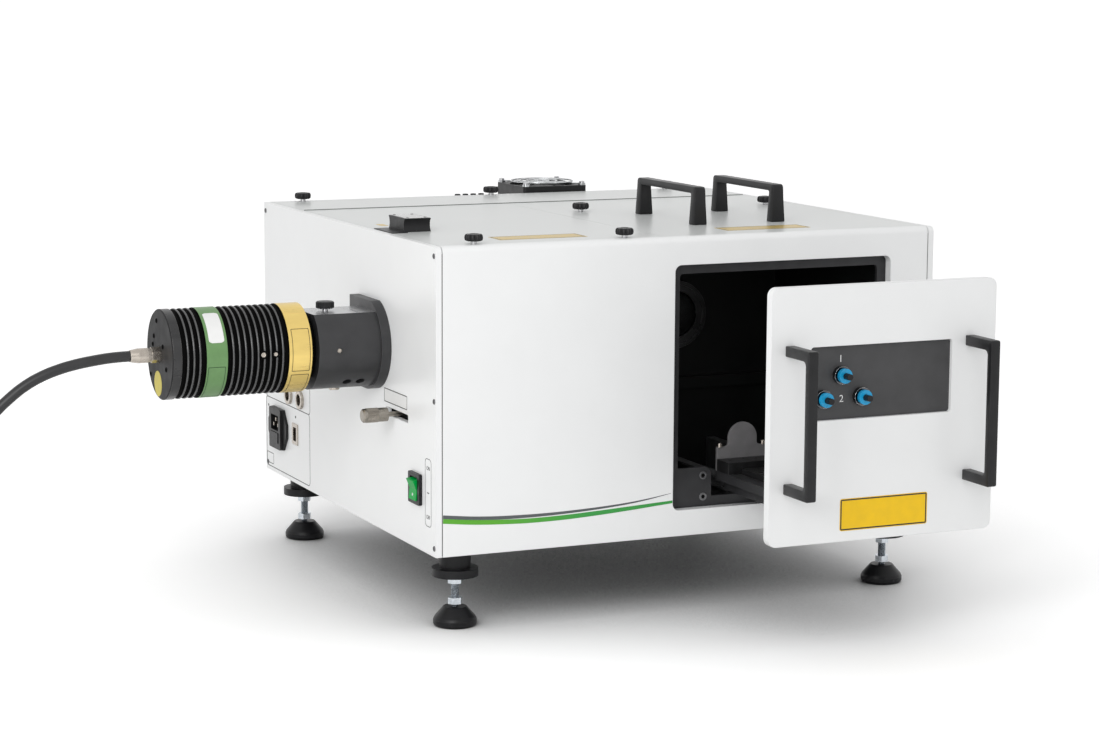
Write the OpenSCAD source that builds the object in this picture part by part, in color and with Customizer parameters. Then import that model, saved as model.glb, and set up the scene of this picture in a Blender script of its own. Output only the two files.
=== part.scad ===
// Benchtop fluorometer: an optics housing on levelling feet, with a light source on its left
// side and a sample drawer in its front. Millimetres. The origin is the centre of the
// front left foot's sole: X runs right along the front, Y to the back and Z up.

/* [Housing] */
// Width over the two side plates
body_w = 550; // [540:1:620]
// Depth from the front face to the rear face
body_d = 510; // [500:1:580]
// Height above the feet
body_h = 300; // [296:1:340]
// Thickness of each side plate
side_t = 6; // [4:0.5:8]
// Thickness of the front panel
front_t = 10; // [9:0.5:12]
// Thickness of the rear panel
rear_t = 10; // [8:0.5:12]
// Thickness of the base plate
base_t = 12; // [8:1:14]
// Thickness of the lids and the rear cover
lid_t = 3; // [2:0.5:4]
// Gap between a side plate and the panels and lids beside it
seam = 1; // [0.5:0.1:1.5]
// Gap between two lids, and between a lid and the front panel
lid_gap = 0.4; // [0.3:0.1:1]
// Radius of the top edge of the front panel and of the side plates' corners beside it
front_edge_r = 6; // [3:0.5:8]
// Depth of the fixed cover along the rear edge
rear_cover_d = 112; // [60:1:120]
// Width of the bars that carry the lids
rail_w = 14; // [12:1:18]
// Height of the bars that carry the lids
rail_h = 10; // [8:1:14]

/* [Drawer opening] */
// Distance of the opening from the housing's right side
open_right = 50.2; // [42:0.2:54]
// Width of the opening
open_w = 246; // [240:1:250]
// Height of the panel above the opening
open_top = 28; // [24:1:32]
// Height of the opening's lower edge above the housing's bottom
open_z = 26; // [24:1:30]
// Corner radius of the opening
open_r = 7; // [4:0.5:10]
// Width of the black frame that shows inside the opening
lip_w = 10; // [7:0.5:12]
// Thickness of that frame
lip_t = 4; // [3:0.5:5]
// Width of the frame's two lower corner plates, inside the lip
gusset_w = 38; // [30:1:40]
// Height of the corner plates, inside the lip
gusset_h = 30; // [20:1:34]

/* [Chamber] */
// Wall of the sample chamber
chamber_t = 4; // [3:0.5:5]
// Depth of the sample chamber inside
chamber_d = 231; // [226:1:240]
// Radius of the collecting lens mount
lens_ring_r = 36.8; // [32:0.2:40]
// Radius of the lens tube
lens_tube_r = 30; // [24:0.5:31]

/* [Drawer] */
// How far the drawer stands open
pulled_out = 195; // [170:1:200]
// Gap round the closed door
door_gap = 1; // [0.6:0.1:2]
// Clearance of parts that rest against or slide in each other
slide_gap = 0.3; // [0.2:0.05:0.4]
// Corner radius of the door
door_r = 8; // [5:0.5:12]
// Width of the window in the door
window_w = 154; // [140:1:160]
// Height of the window in the door
window_h = 70; // [60:1:80]
// Depth of the window
window_depth = 4; // [2:0.5:5]
// Height of the window's lower edge above the door's
window_z = 117; // [110:1:125]
// Width of the drawer's tray
tray_w = 132; // [120:1:140]
// Thickness of the tray
tray_t = 9; // [6:0.5:10]
// Height of the tray's top above the housing's bottom
tray_top = 60; // [58:1:64]
// Height of each drawer slide
slide_h = 13; // [12:0.5:13]
// Sheet thickness of the slides
slide_t = 1.2; // [1:0.1:1.5]
// Diameter of the push-in fittings' release rings
collar_d = 14; // [12:0.5:16]
// Travel of a release ring
collar_travel = 1.5; // [1:0.25:2]

/* [Handles] */
// Distance between the legs of a door handle
bar_pitch = 130; // [110:1:150]
// How far a door handle stands out
bar_out = 45; // [35:1:55]
// Width of a door handle's bar
bar_w = 10; // [8:0.5:12]
// Distance between the two door handles
bar_spacing = 196; // [186:1:200]
// Distance between the legs of a lid handle
grip_pitch = 125; // [100:1:140]
// Height of a lid handle
grip_h = 39; // [30:1:45]
// Distance between the two lid handles
grip_spacing = 91; // [70:1:120]

/* [Light source] */
// Distance of the beam from the front face
beam_y = 163; // [150:1:175]
// Height of the beam above the housing's bottom
beam_z = 188; // [180:1:192]
// Diameter of the lamp head
head_d = 88.6; // [80:0.2:96]
// Length of the lamp head
head_l = 141; // [120:1:160]
// Number of cooling fins in the long row
fin_count = 10; // [6:1:12]
// Depth of the grooves between the fins
fin_depth = 3; // [2:0.25:4]
// Diameter of the mount
mount_d = 86; // [78:0.5:92]
// Length of the mount's barrel
mount_l = 64; // [55:1:75]
// Thickness of the mount's flange
flange_t = 10; // [8:0.5:13]
// Diameter of the round half of the flange
flange_d = 92; // [88:0.5:98]

/* [Side controls] */
// Length of the lever's slot
slot_l = 60; // [55:1:65]
// Height of the lever's slot
slot_h = 8; // [7:0.5:10]
// Diameter of the lever's knob
knob_d = 14.5; // [12:0.5:18]
// Width of the mains switch
switch_w = 29; // [26:0.5:31]
// Height of the mains switch
switch_h = 30.5; // [28:0.5:34]
// Angle that the rocker turns through
rocker_angle = 16; // [12:1:20]

/* [Feet] */
// Height of the housing's bottom above the bench
foot_h = 76; // [70:1:86]
// Distance of each foot from the housing's edges
foot_inset = 33; // [30:1:45]
// Diameter of the foot's pad
pad_d = 43; // [36:1:50]
// Diameter of the threaded stud
stud_d = 8; // [6:0.5:10]
// Diameter of the hub under the housing
hub_d = 46; // [40:1:52]

/* [Detector] */
// Distance of the detector's middle to the left of the drawer's
detector_left = 18.8; // [10:0.2:26]
// Width of the detector housing
detector_w = 100; // [92:1:110]
// Depth of the detector housing
detector_d = 95; // [92:1:110]
// Width of the fan
fan_w = 80; // [76:1:84]
// Thickness of the fan
fan_t = 25; // [15:1:28]
// Number of fan blades
blade_count = 7; // [5:1:9]

/* [Cable] */
// Diameter of the lamp head's cable
cable_d = 10.5; // [10:0.1:11]

/* [Hidden] */
$fn = 48;
eps = 0.01;

// Clearance of a shaft in its bore
fit = 0.05;
lid_z = body_h - lid_t;
rail_z = lid_z - rail_h;
panel_x = side_t + seam;
panel_w = body_w - 2 * panel_x;
rear_y = body_d - rear_t;
cover_y = body_d - rear_cover_d;

open_x = body_w - open_right - open_w;
open_h = body_h - open_top - open_z;
chamber_y = front_t + lip_t;
chamber_side = 2;
chamber_x = open_x - chamber_side - chamber_t;
chamber_w = open_w + 2 * (chamber_side + chamber_t);
chamber_back = chamber_y + chamber_d;
chamber_mid = open_x + open_w / 2;
// The lids meet beside the chamber's left wall
lid_split = chamber_x - 2.8;

door_w = open_w - 2 * door_gap;
door_h = open_h - 2 * door_gap;
door_t = front_t - slide_gap;
door_x = open_x + door_gap;
door_z = open_z + door_gap;
detector_x = chamber_mid - detector_left;

function ring(n) = [for (i = [0:n - 1]) 360 * i / n];

// Places a piece, drawn from the housing's front left bottom corner, in the part's frame
module place() { translate([-foot_inset, -foot_inset, foot_h]) children(); }
// Bars and cylinders along each axis
module cyl_x(r, x0, x1, y, z) { translate([x0, y, z]) rotate([0, 90, 0]) cylinder(r = r, h = x1 - x0); }
module cone_x(r1, r2, x, h, y, z) {
    translate([x, y, z]) rotate([0, 90, 0]) cylinder(r1 = r1, r2 = r2, h = h);
}
module cyl_y(r, y0, y1, x, z) { translate([x, y0, z]) rotate([-90, 0, 0]) cylinder(r = r, h = y1 - y0); }
module cyl_z(r, z0, z1, x, y) { translate([x, y, z0]) cylinder(r = r, h = z1 - z0); }
module box(lo, hi) { translate(lo) cube(hi - lo); }
// A flat outline drawn in X and Z, standing from y0 for t
module plate_xz(y0, t) { translate([0, y0 + t, 0]) rotate([90, 0, 0]) linear_extrude(t) children(); }
// A flat outline drawn in Y and Z, standing from x0 for t
module plate_yz(x0, t) { translate([x0, 0, 0]) rotate([90, 0, 90]) linear_extrude(t) children(); }
module plate_xy(z0, t) { translate([0, 0, z0]) linear_extrude(t) children(); }
// A rectangle with round corners, from its low corner
module rrect(lo, size, r) {
    translate([lo[0] + r, lo[1]]) square([size[0] - 2 * r, size[1]]);
    translate([lo[0], lo[1] + r]) square([size[0], size[1] - 2 * r]);
    for (x = [r, size[0] - r], y = [r, size[1] - r]) translate([lo[0] + x, lo[1] + y]) circle(r);
}

// ---- Housing ----
port_r = 20;
socket_r = 10;
socket_y = [body_d - 118.4, body_d - 81];
socket_z = 95;
inlet_y = body_d - 46.5;
inlet_z = 53;
inlet_size = [37, 45];
data_y = body_d - 100;
data_z = 54.5;
data_size = [14, 19];
slot_y = 73;
slot_z = 124;
switch_y = 50.5;
switch_z = 59.75;
// What stands in a cut-out is this much smaller than it
cut_gap = 0.3;
inlet_cut = [28, 47 - 9];
switch_cut = [switch_w - 6, switch_h - 5];

module base_plate() {
    color("silver") place() box([side_t, front_t, 0], [body_w - side_t, rear_y, base_t]);
}

// A panel seen from the side, len deep, with its front top edge rounded
module rounded_side(len) {
    difference() {
        square([len, body_h]);
        translate([0, body_h - front_edge_r]) difference() {
            translate([-1, 0]) square([front_edge_r + 1, front_edge_r + 1]);
            translate([front_edge_r, 0]) circle(front_edge_r);
        }
    }
}

module left_plate() {
    color("whitesmoke") place() difference() {
        union() {
            plate_yz(0, side_t) rounded_side(body_d);
            lever_guide();
        }
        cyl_x(port_r, -1, side_t + 1, beam_y, beam_z);
        for (y = socket_y) cyl_x(socket_r - 2, -1, side_t + 1, y, socket_z);
        plate_yz(-1, side_t + 2) rrect([slot_y, slot_z - slot_h / 2], [slot_l, slot_h], 2);
        block_x(switch_cut, switch_y, switch_z, -1, side_t + 1);
        block_x(inlet_cut, inlet_y, inlet_z, -1, side_t + 1);
        block_x(data_size, data_y, data_z, -1, side_t + 1);
    }
}

module right_plate() {
    color("whitesmoke") place() plate_yz(body_w - side_t, side_t) rounded_side(body_d);
}

module front_panel() {
    color("whitesmoke") place() difference() {
        plate_yz(panel_x, panel_w) rounded_side(front_t);
        plate_xz(-1, front_t + 2) rrect([open_x, open_z], [open_w, open_h], open_r);
    }
}

neck_r = 25;
neck_down = 70;
neck_z = body_h - neck_down;
vent_pitch = 12;
vent_count = 9;
module rear_panel() {
    color("whitesmoke") place() difference() {
        box([side_t, rear_y, 0], [body_w - side_t, body_d, lid_z]);
        cyl_y(neck_r + fit, rear_y - 1, body_d + 1, detector_x, neck_z);
        for (x = rear_screw_x) cyl_z(screw_r + fit, lid_z - screw_in - 1, lid_z + 1, x, rear_screw_y);
        for (i = [0:vent_count - 1]) plate_xz(rear_y - 1, rear_t + 2)
            rrect([50 + i * vent_pitch, 90], [5, 60], 2.4);
    }
}

// ---- Lids ----
screw_r = 2.9;
screw_in = 8;
screw_up = 2.6;
screw_head_r = 9.2;
screw_head_h = 7;
screw_inset = 39;
chamber_screw_inset = 36;
optics_screw_x = [panel_x + screw_inset, lid_split - screw_inset];
optics_screw_y = front_t + rail_w / 2;
chamber_screw_x = [lid_split + chamber_screw_inset, body_w - panel_x - chamber_screw_inset];
chamber_screw_y = chamber_back + chamber_t + 31;
rear_screw_x = [44, body_w / 2 - 3, body_w - 55];
rear_screw_y = body_d - rear_t / 2;

module lid_rails() {
    bar_x = chamber_x - rail_w - 0.2;
    color("silver") place() difference() {
        union() {
            box([side_t, front_t, rail_z], [side_t + rail_w, rear_y, lid_z]);
            box([body_w - side_t - rail_w, front_t, rail_z], [body_w - side_t, rear_y, lid_z]);
            box([side_t, front_t, rail_z], [bar_x + rail_w, front_t + rail_w, lid_z]);
            box([bar_x, front_t, rail_z], [bar_x + rail_w, cover_y, lid_z]);
            box([side_t, cover_y - rail_w / 2, rail_z], [body_w - side_t, cover_y + rail_w / 2, lid_z]);
            box([bar_x, chamber_screw_y - rail_w / 2, rail_z],
                [body_w - side_t, chamber_screw_y + rail_w / 2, lid_z]);
        }
        for (x = optics_screw_x) cyl_z(screw_r + fit, rail_z - 1, lid_z + 1, x, optics_screw_y);
        for (x = chamber_screw_x) cyl_z(screw_r + fit, rail_z - 1, lid_z + 1, x, chamber_screw_y);
    }
}

filter_x = 37.5;
blade_t = 4;
blade_w = 30;
module optics_lid() {
    color("whitesmoke") place() difference() {
        box([panel_x, front_t + lid_gap, lid_z],
            [lid_split - lid_gap / 2, cover_y - lid_gap / 2, body_h]);
        for (x = optics_screw_x) cyl_z(screw_r + fit, lid_z - 1, body_h + 1, x, optics_screw_y);
        box([filter_x - blade_t / 2 - slide_gap, beam_y - blade_w / 2 - slide_gap, lid_z - 1],
            [filter_x + blade_t / 2 + slide_gap, beam_y + blade_w / 2 + slide_gap, body_h + 1]);
    }
}

module chamber_lid() {
    color("whitesmoke") place() difference() {
        box([lid_split + lid_gap / 2, front_t + lid_gap, lid_z],
            [body_w - panel_x, cover_y - lid_gap / 2, body_h]);
        for (x = chamber_screw_x) cyl_z(screw_r + fit, lid_z - 1, body_h + 1, x, chamber_screw_y);
    }
}

module rear_cover() {
    color("whitesmoke") place() difference() {
        box([panel_x, cover_y + lid_gap / 2, lid_z], [body_w - panel_x, body_d, body_h]);
        for (x = rear_screw_x) cyl_z(screw_r + fit, lid_z - 1, body_h + 1, x, rear_screw_y);
    }
}

// One lid handle: two flared legs and a flat bar, along Y
grip_w = 12;
grip_d = 10;
grip_foot_w = 15.5;
grip_foot_d = 12;
grip_bar_t = 7;
module grip(x, y) {
    translate([x, y, body_h]) {
        for (s = [-1, 1]) translate([0, s * grip_pitch / 2, 0]) hull() {
            translate([-grip_foot_w / 2, -grip_foot_d / 2, 0]) cube([grip_foot_w, grip_foot_d, 1]);
            translate([-grip_w / 2, -grip_d / 2, grip_h - grip_bar_t]) cube([grip_w, grip_d, 1]);
        }
        hull() for (s = [-1, 1], z = [grip_h - 3.5, grip_h - 2])
            translate([0, s * (grip_pitch / 2 + grip_d / 2 - 2), z]) rotate([0, 90, 0])
                cylinder(r = 2, h = grip_w, center = true, $fn = 32);
        translate([-grip_w / 2, -grip_pitch / 2, grip_h - grip_bar_t])
            cube([grip_w, grip_pitch, grip_bar_t - 2]);
    }
}
module lid_handles() {
    color("#262626") place() for (s = [-1, 1])
        grip(chamber_mid + 0.7 + s * grip_spacing / 2, beam_y + 4);
}

// A captive thumbscrew: fluted head on a smooth shank
flute_count = 18;
module thumbscrew(x, y, top) {
    translate([x, y, top]) difference() {
        union() {
            translate([0, 0, -screw_in]) cylinder(r = screw_r, h = screw_in + screw_up + 1);
            translate([0, 0, screw_up]) cylinder(r1 = screw_head_r - 1, r2 = screw_head_r, h = 1);
            translate([0, 0, screw_up + 1]) cylinder(r = screw_head_r, h = screw_head_h - 2);
            translate([0, 0, screw_up + screw_head_h - 1])
                cylinder(r1 = screw_head_r, r2 = screw_head_r - 1, h = 1);
        }
        for (a = ring(flute_count)) rotate(a) translate([screw_head_r + 0.5, 0, screw_up - 1])
            cylinder(r = 1.1, h = screw_head_h + 2, $fn = 16);
    }
}
module lid_screw(x, y) { color("#1c1c1c") place() thumbscrew(x, y, body_h); }
module optics_screw_1() { lid_screw(optics_screw_x[0], optics_screw_y); }
module optics_screw_2() { lid_screw(optics_screw_x[1], optics_screw_y); }
module chamber_screw_1() { lid_screw(chamber_screw_x[0], chamber_screw_y); }
module chamber_screw_2() { lid_screw(chamber_screw_x[1], chamber_screw_y); }
module rear_screw_1() { lid_screw(rear_screw_x[0], rear_screw_y); }
module rear_screw_2() { lid_screw(rear_screw_x[1], rear_screw_y); }
module rear_screw_3() { lid_screw(rear_screw_x[2], rear_screw_y); }

// ---- Sample chamber ----
ledge_z = 106;
ledge_h = 13;
ledge_d = 6;
module chamber_box() {
    color("#151515") place() difference() {
        box([chamber_x, chamber_y, base_t],
            [chamber_x + chamber_w, chamber_back + chamber_t, lid_z - slide_gap]);
        difference() {
            box([chamber_x + chamber_t, chamber_y - 1, base_t + chamber_t],
                [chamber_x + chamber_w - chamber_t, chamber_back, body_h]);
            box([chamber_x, chamber_back - ledge_d, ledge_z],
                [chamber_x + chamber_w, chamber_back + 1, ledge_z + ledge_h]);
        }
        cyl_x(tube_r + fit, chamber_x - 1, chamber_x + chamber_t + 1, beam_y, beam_z);
        cyl_y(lens_tube_r + fit, chamber_back - 1, chamber_back + chamber_t + 1, chamber_mid, beam_z);
    }
}

frame_out = 12;
// Gaps from the frame to the base plate and to the lids' bars
frame_down = 2;
frame_up = 3;
gusset_r = 8;
lip_r = open_r - 3;
module chamber_frame() {
    in_w = open_w - 2 * lip_w;
    in_h = open_h - 2 * lip_w;
    in_x = open_x + lip_w;
    in_z = open_z + lip_w;
    color("#1b1b1b") place() plate_xz(front_t, lip_t) difference() {
        translate([open_x - frame_out, base_t + frame_down])
            square([open_w + 2 * frame_out, rail_z - frame_up - base_t - frame_down]);
        difference() {
            rrect([in_x, in_z], [in_w, in_h], lip_r);
            for (x = [in_x - 20, in_x + in_w - gusset_w])
                rrect([x, in_z - 20], [gusset_w + 20, gusset_h + 20], gusset_r);
        }
    }
}

lens_ring_t = 5;
tube_end = 300;
module lens_tube() {
    front = chamber_back - lens_ring_t;
    color("#202020") place() difference() {
        union() {
            cyl_y(lens_ring_r, front, chamber_back, chamber_mid, beam_z);
            cyl_y(lens_tube_r, chamber_back - 1, tube_end, chamber_mid, beam_z);
        }
        cyl_y(lens_ring_r - 4, front - 1, front + 1.5, chamber_mid, beam_z);
        cyl_y(lens_tube_r - 4, front - 1, chamber_back + 2, chamber_mid, beam_z);
        cyl_y(lens_tube_r - 6, chamber_back + 1, tube_end + 1, chamber_mid, beam_z);
    }
}

// ---- Drawer ----
out_y = -pulled_out;
tray_x = chamber_mid - tray_w / 2;
tray_front = out_y + door_t;
tray_back = 18;
slide_w = 11;
slide_top = tray_top - tray_t - 1;
slide_z = slide_top - slide_h;
slide_back = chamber_back - 1;
// How far in from the tray's side the slides run
slide_in = 12;

// A channel of sheet: web at x = 0, flanges towards +X
module channel(w, h, len) {
    difference() {
        cube([w, len, h]);
        translate([slide_t, -1, slide_t]) cube([w, len + 2, h - 2 * slide_t]);
    }
}
// Both slides, drawn at the drawer's left and mirrored about its middle
module each_side() {
    for (s = [0, 1]) translate([2 * s * chamber_mid, 0, 0]) mirror([s, 0, 0]) children();
}
step_h = slide_t + slide_gap;
foot_bar = 14;
member_l = 196;
member_y = (tray_front + chamber_y) / 2 + 12;
module slide_channels() {
    color("silver") place() each_side() {
        // fixed channel, opening to the left, on its angle from the chamber floor
        translate([tray_x + slide_in + slide_w, chamber_y + 6, slide_z]) mirror([1, 0, 0])
            channel(slide_w - 2 * slide_t, slide_h, slide_back - chamber_y - 6);
        box([tray_x + slide_in + slide_w, chamber_y + 6, base_t + chamber_t],
            [tray_x + slide_in + slide_w + 2, slide_back, slide_z + slide_h]);
        box([tray_x + slide_in + slide_w, chamber_y + 6, base_t + chamber_t],
            [tray_x + slide_in + slide_w + foot_bar, slide_back, base_t + chamber_t + 2]);
    }
}
module slide_members() {
    color("gainsboro") place() each_side()
        translate([tray_x + slide_in + slide_w - slide_t - slide_gap, member_y, slide_z + step_h])
            mirror([1, 0, 0]) channel(slide_w - 3 * slide_t, slide_h - 2 * step_h, member_l);
}
module drawer_tray() {
    color("#3a3a3c") place() {
        difference() {
            box([tray_x, tray_front, tray_top - tray_t], [tray_x + tray_w, tray_back, tray_top]);
            for (i = [0:3], j = [0:2]) translate([tray_x + 30 + i * 24, -150 + j * 60, tray_top - tray_t - 1])
                cylinder(r = 2.5, h = tray_t + 2);
        }
        each_side() {
            // runner, hung under the tray
            translate([tray_x + slide_in, tray_front, slide_z + 2 * step_h])
                channel(slide_w - 4 * slide_t, slide_h - 4 * step_h, tray_back - tray_front);
            box([tray_x + slide_in - 2, tray_front, slide_z + 2 * step_h],
                [tray_x + slide_in, tray_back, tray_top - tray_t]);
        }
    }
}
baffle_w = 58;
baffle_t = 3;
baffle_h = 24;
tongue_w = 32;
tongue_h = 48;
tongue_fillet = 4;
board_t = 6;
board_in = 14;
board_pitch = [12.5, 25];
riser = [baffle_w, 25, 12];
riser_holes = [[8, 12], [27, 20], [39, 15]];
module breadboard() {
    lo = [tray_x + board_in, tray_front + board_in];
    hi = [tray_x + tray_w - board_in, tray_back - baffle_t - riser[1] - 2];
    color("#2b2b2d") place() {
        difference() {
            box([lo[0], lo[1], tray_top], [hi[0], hi[1], tray_top + board_t]);
            for (x = [lo[0] + 8:board_pitch[0]:hi[0] - 4], y = [lo[1] + 8:board_pitch[1]:hi[1] - 4])
                cyl_z(2, tray_top - 1, tray_top + board_t + 1, x, y);
        }
        // step that the baffle is screwed to
        translate([tray_x, tray_back - baffle_t - riser[1], tray_top]) difference() {
            cube(riser);
            for (p = riser_holes) translate([p[0], p[1], riser[2] - 8]) cylinder(r = 1.4, h = 9);
        }
    }
}
module baffle_plate() {
    r = tongue_w / 2;
    baffle_x = tray_x + baffle_w / 2;
    color("#48484a") place() plate_xz(tray_back - baffle_t, baffle_t) translate([baffle_x, tray_top]) {
        translate([-baffle_w / 2, 0]) square([baffle_w, baffle_h]);
        translate([-r, 0]) square([tongue_w, tongue_h - r]);
        translate([0, tongue_h - r]) circle(r);
        difference() {
            translate([-r - tongue_fillet, baffle_h - 1])
                square([tongue_w + 2 * tongue_fillet, tongue_fillet + 1]);
            for (side = [-1, 1])
                translate([side * (r + tongue_fillet), baffle_h + tongue_fillet]) circle(tongue_fillet);
        }
    }
}
holder_w = 38;
cell_w = 12.5;
holder_base = 20;
// How far the holder's foot reaches sideways and forwards, and how far it reaches back
holder_foot = 30;
holder_back = 14;
// How far the cell's bottom lies under the beam, and the holder's top above that
cell_down = 23;
holder_up = 34;
module cuvette_holder() {
    // closed, the cell stands where the beam crosses the lens's axis
    y = beam_y - pulled_out;
    z0 = tray_top + board_t;
    cell_z = beam_z - cell_down;
    color("#303033") place() difference() {
        union() {
            box([chamber_mid - holder_foot, y - holder_foot, z0],
                [chamber_mid + holder_foot, y + holder_back, z0 + holder_base]);
            box([chamber_mid - holder_w / 2, y - holder_w / 2, z0 + holder_base],
                [chamber_mid + holder_w / 2, y + holder_back, cell_z + holder_up]);
        }
        translate([chamber_mid - cell_w / 2, y - cell_w / 2, cell_z]) cube([cell_w, cell_w, holder_up + 1]);
        cyl_x(5, chamber_mid - holder_w, chamber_mid + holder_w, y, beam_z);
        cyl_y(6, y - holder_w, y + holder_w, chamber_mid, beam_z);
    }
}

window_r = 3;
rebate = 4;
window_x = chamber_mid - 3 - window_w / 2;
module drawer_door() {
    color("whitesmoke") place() difference() {
        plate_xz(out_y, door_t) rrect([door_x, door_z], [door_w, door_h], door_r);
        plate_xz(out_y - 1, door_t + 2) rrect([window_x, door_z + window_z], [window_w, window_h], window_r);
        plate_xz(out_y + window_depth, door_t) rrect([window_x - rebate, door_z + window_z - rebate],
            [window_w + 2 * rebate, window_h + 2 * rebate], window_r);
    }
}
// A door handle: a flat bar on two square legs, upright
bar_d = 7;
module bar_handle(x, z) {
    y1 = out_y;
    y0 = out_y - bar_out;
    lo = z - bar_pitch / 2 - bar_w / 2;
    hi = z + bar_pitch / 2 + bar_w / 2;
    plate_yz(x - bar_w / 2, bar_w) difference() {
        union() {
            translate([y0 + 2, lo]) square([bar_out - 2, hi - lo]);
            translate([y0, lo + 2]) square([bar_out, hi - lo - 4]);
            for (zz = [lo + 2, hi - 2]) translate([y0 + 2, zz]) circle(2);
        }
        rrect([y0 + bar_d, lo + bar_w], [bar_out + 10, hi - lo - 2 * bar_w], 5);
    }
}
handle_left = 4.5;
handle_mid = chamber_mid - handle_left;
handle_up = 120;
handle_z = door_z + handle_up;
module door_handles() {
    color("#1d1d1d") place() for (s = [-1, 1]) bar_handle(handle_mid + s * bar_spacing / 2, handle_z);
}
panel_t = 3;
// The ports' middles, from the window's low corner
port_in = [[34.2, 42], [14.8, 20.2], [56.2, 20.6]];
port_at = [for (p = port_in) [window_x + p[0], door_z + window_z + p[1]]];
module port_panel() {
    y = out_y + window_depth;
    color("#3c3d40") place() difference() {
        plate_xz(y, panel_t) rrect([window_x - rebate + slide_gap, door_z + window_z - rebate + slide_gap],
            [window_w + 2 * (rebate - slide_gap), window_h + 2 * (rebate - slide_gap)], window_r - slide_gap);
        for (p = port_at) cyl_y(port_stem_r + fit, y - 1, y + panel_t + 1, p[0], p[1]);
    }
}
port_stem_r = 5;
port_ring_r = 8.6;
port_base = 5;
blank_r = 3;
blank_out = 18.5;
// Body of a push-in fitting: a ring on the panel, a stem through it and a blanking plug
module fitting(x, z) {
    y = out_y + window_depth;
    difference() {
        union() {
            cyl_y(port_ring_r, y - port_base, y, x, z);
            cyl_y(port_stem_r, y - 1, y + panel_t + 14, x, z);
            cyl_y(7.5, y + panel_t, y + panel_t + 3, x, z);
        }
        cyl_y(port_stem_r - 0.5, y - port_base - 1, y - 1, x, z);
    }
    cyl_y(blank_r, y - blank_out, y - 0.5, x, z);
}
module port_fittings() {
    color("#9a9a9c") place() for (p = port_at) fitting(p[0], p[1]);
}
ring_front = 4;
module release_ring(i) {
    x = port_at[i][0];
    z = port_at[i][1];
    panel_y = out_y + window_depth;
    // in front of the fitting's body by the ring's travel
    y = panel_y - port_base - collar_travel;
    color("#1b8fcf") place() difference() {
        union() {
            cyl_y(collar_d / 2, y - ring_front, y - 0.2, x, z);
            cyl_y(port_stem_r - 0.5 - fit, y - 1, panel_y - collar_travel - 1.2, x, z);
        }
        cyl_y(blank_r + fit, panel_y - blank_out, panel_y, x, z);
    }
}
module release_ring_1() { release_ring(0); }
module release_ring_2() { release_ring(1); }
module release_ring_3() { release_ring(2); }

// ---- Light source ----
head_r = head_d / 2;
mount_r = mount_d / 2;
flange_r = flange_d / 2;
mount_x = -flange_t - mount_l;
head_x = mount_x - 8;
head_end = head_x - head_l;
flat_h = 34.5;
flange_top = 44;
clamp_hole_x = [-40, -26];
clamp_angle = 52;
neck_d = 64;
spigot_r = 26;
spigot_l = 30;
set_screw_r = 2.5;
mount_screw_x = -53;
module lamp_mount() {
    color("#2a2a2a") place() difference() {
        union() {
            difference() {
                union() {
                    cyl_x(flange_r, -flange_t, 0, beam_y, beam_z);
                    box([-flange_t, beam_y, beam_z - flange_r], [0, beam_y + flange_r, beam_z + flange_r]);
                }
                // the flange's top is flat
                box([-flange_t - 1, beam_y - flange_r, beam_z + flange_top],
                    [1, beam_y + flange_r + 1, beam_z + flange_r + 1]);
            }
            difference() {
                cyl_x(mount_r, mount_x, -flange_t, beam_y, beam_z);
                box([mount_x - 1, beam_y - mount_r, beam_z + flat_h],
                    [-flange_t, beam_y + mount_r, beam_z + mount_r + 1]);
            }
        }
        cyl_x(spigot_r + fit, mount_x - 1, mount_x + spigot_l, beam_y, beam_z);
        cyl_x(port_r, mount_x + spigot_l - 1, 1, beam_y, beam_z);
        cyl_z(screw_r + fit, beam_z + spigot_r - 2, beam_z + mount_r, mount_screw_x, beam_y);
        cyl_y(set_screw_r, beam_y - mount_r - 1, beam_y - spigot_r + 2, mount_screw_x, beam_z);
        for (x = clamp_hole_x) translate([x, beam_y, beam_z]) rotate([90 + clamp_angle, 0, 0])
            translate([0, 0, mount_r - 8]) cylinder(r = 4.5, h = 10);
    }
}
module mount_screw() {
    color("#1c1c1c") place() thumbscrew(mount_screw_x, beam_y, beam_z + flat_h);
}

cap_w = 9.5;
short_fins = 3;
fin_w = 2.9;
band_1 = 34;
band_1_w = 21;
band_2_w = 23.4;
module lamp_body() {
    x0 = head_end + cap_w;
    short_row = head_end + band_1;
    long_row = short_row + band_1_w;
    short_gap = (band_1 - cap_w) / (short_fins + 1);
    long_gap = (head_x - band_2_w - long_row) / fin_count;
    place() {
        color("#141414") {
            cone_x(head_r - 1, head_r, head_end, 1, beam_y, beam_z);
            cyl_x(head_r, head_end + 1, x0, beam_y, beam_z);
            cyl_x(head_r - fin_depth, x0, head_x, beam_y, beam_z);
            for (i = [1:short_fins]) fin(x0 + i * short_gap);
            for (i = [1:fin_count - 1]) fin(long_row + i * long_gap);
            cyl_x(neck_d / 2, head_x, mount_x, beam_y, beam_z);
            cyl_x(spigot_r, mount_x, mount_x + spigot_l - slide_gap, beam_y, beam_z);
        }
        color("seagreen") cyl_x(head_r, short_row, long_row, beam_y, beam_z);
        color("tan") cyl_x(head_r, head_x - band_2_w, head_x, beam_y, beam_z);
    }
}
module fin(x) { cyl_x(head_r, x - fin_w / 2, x + fin_w / 2, beam_y, beam_z); }
gland_r = 7.3;
gland_l = 30;
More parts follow.
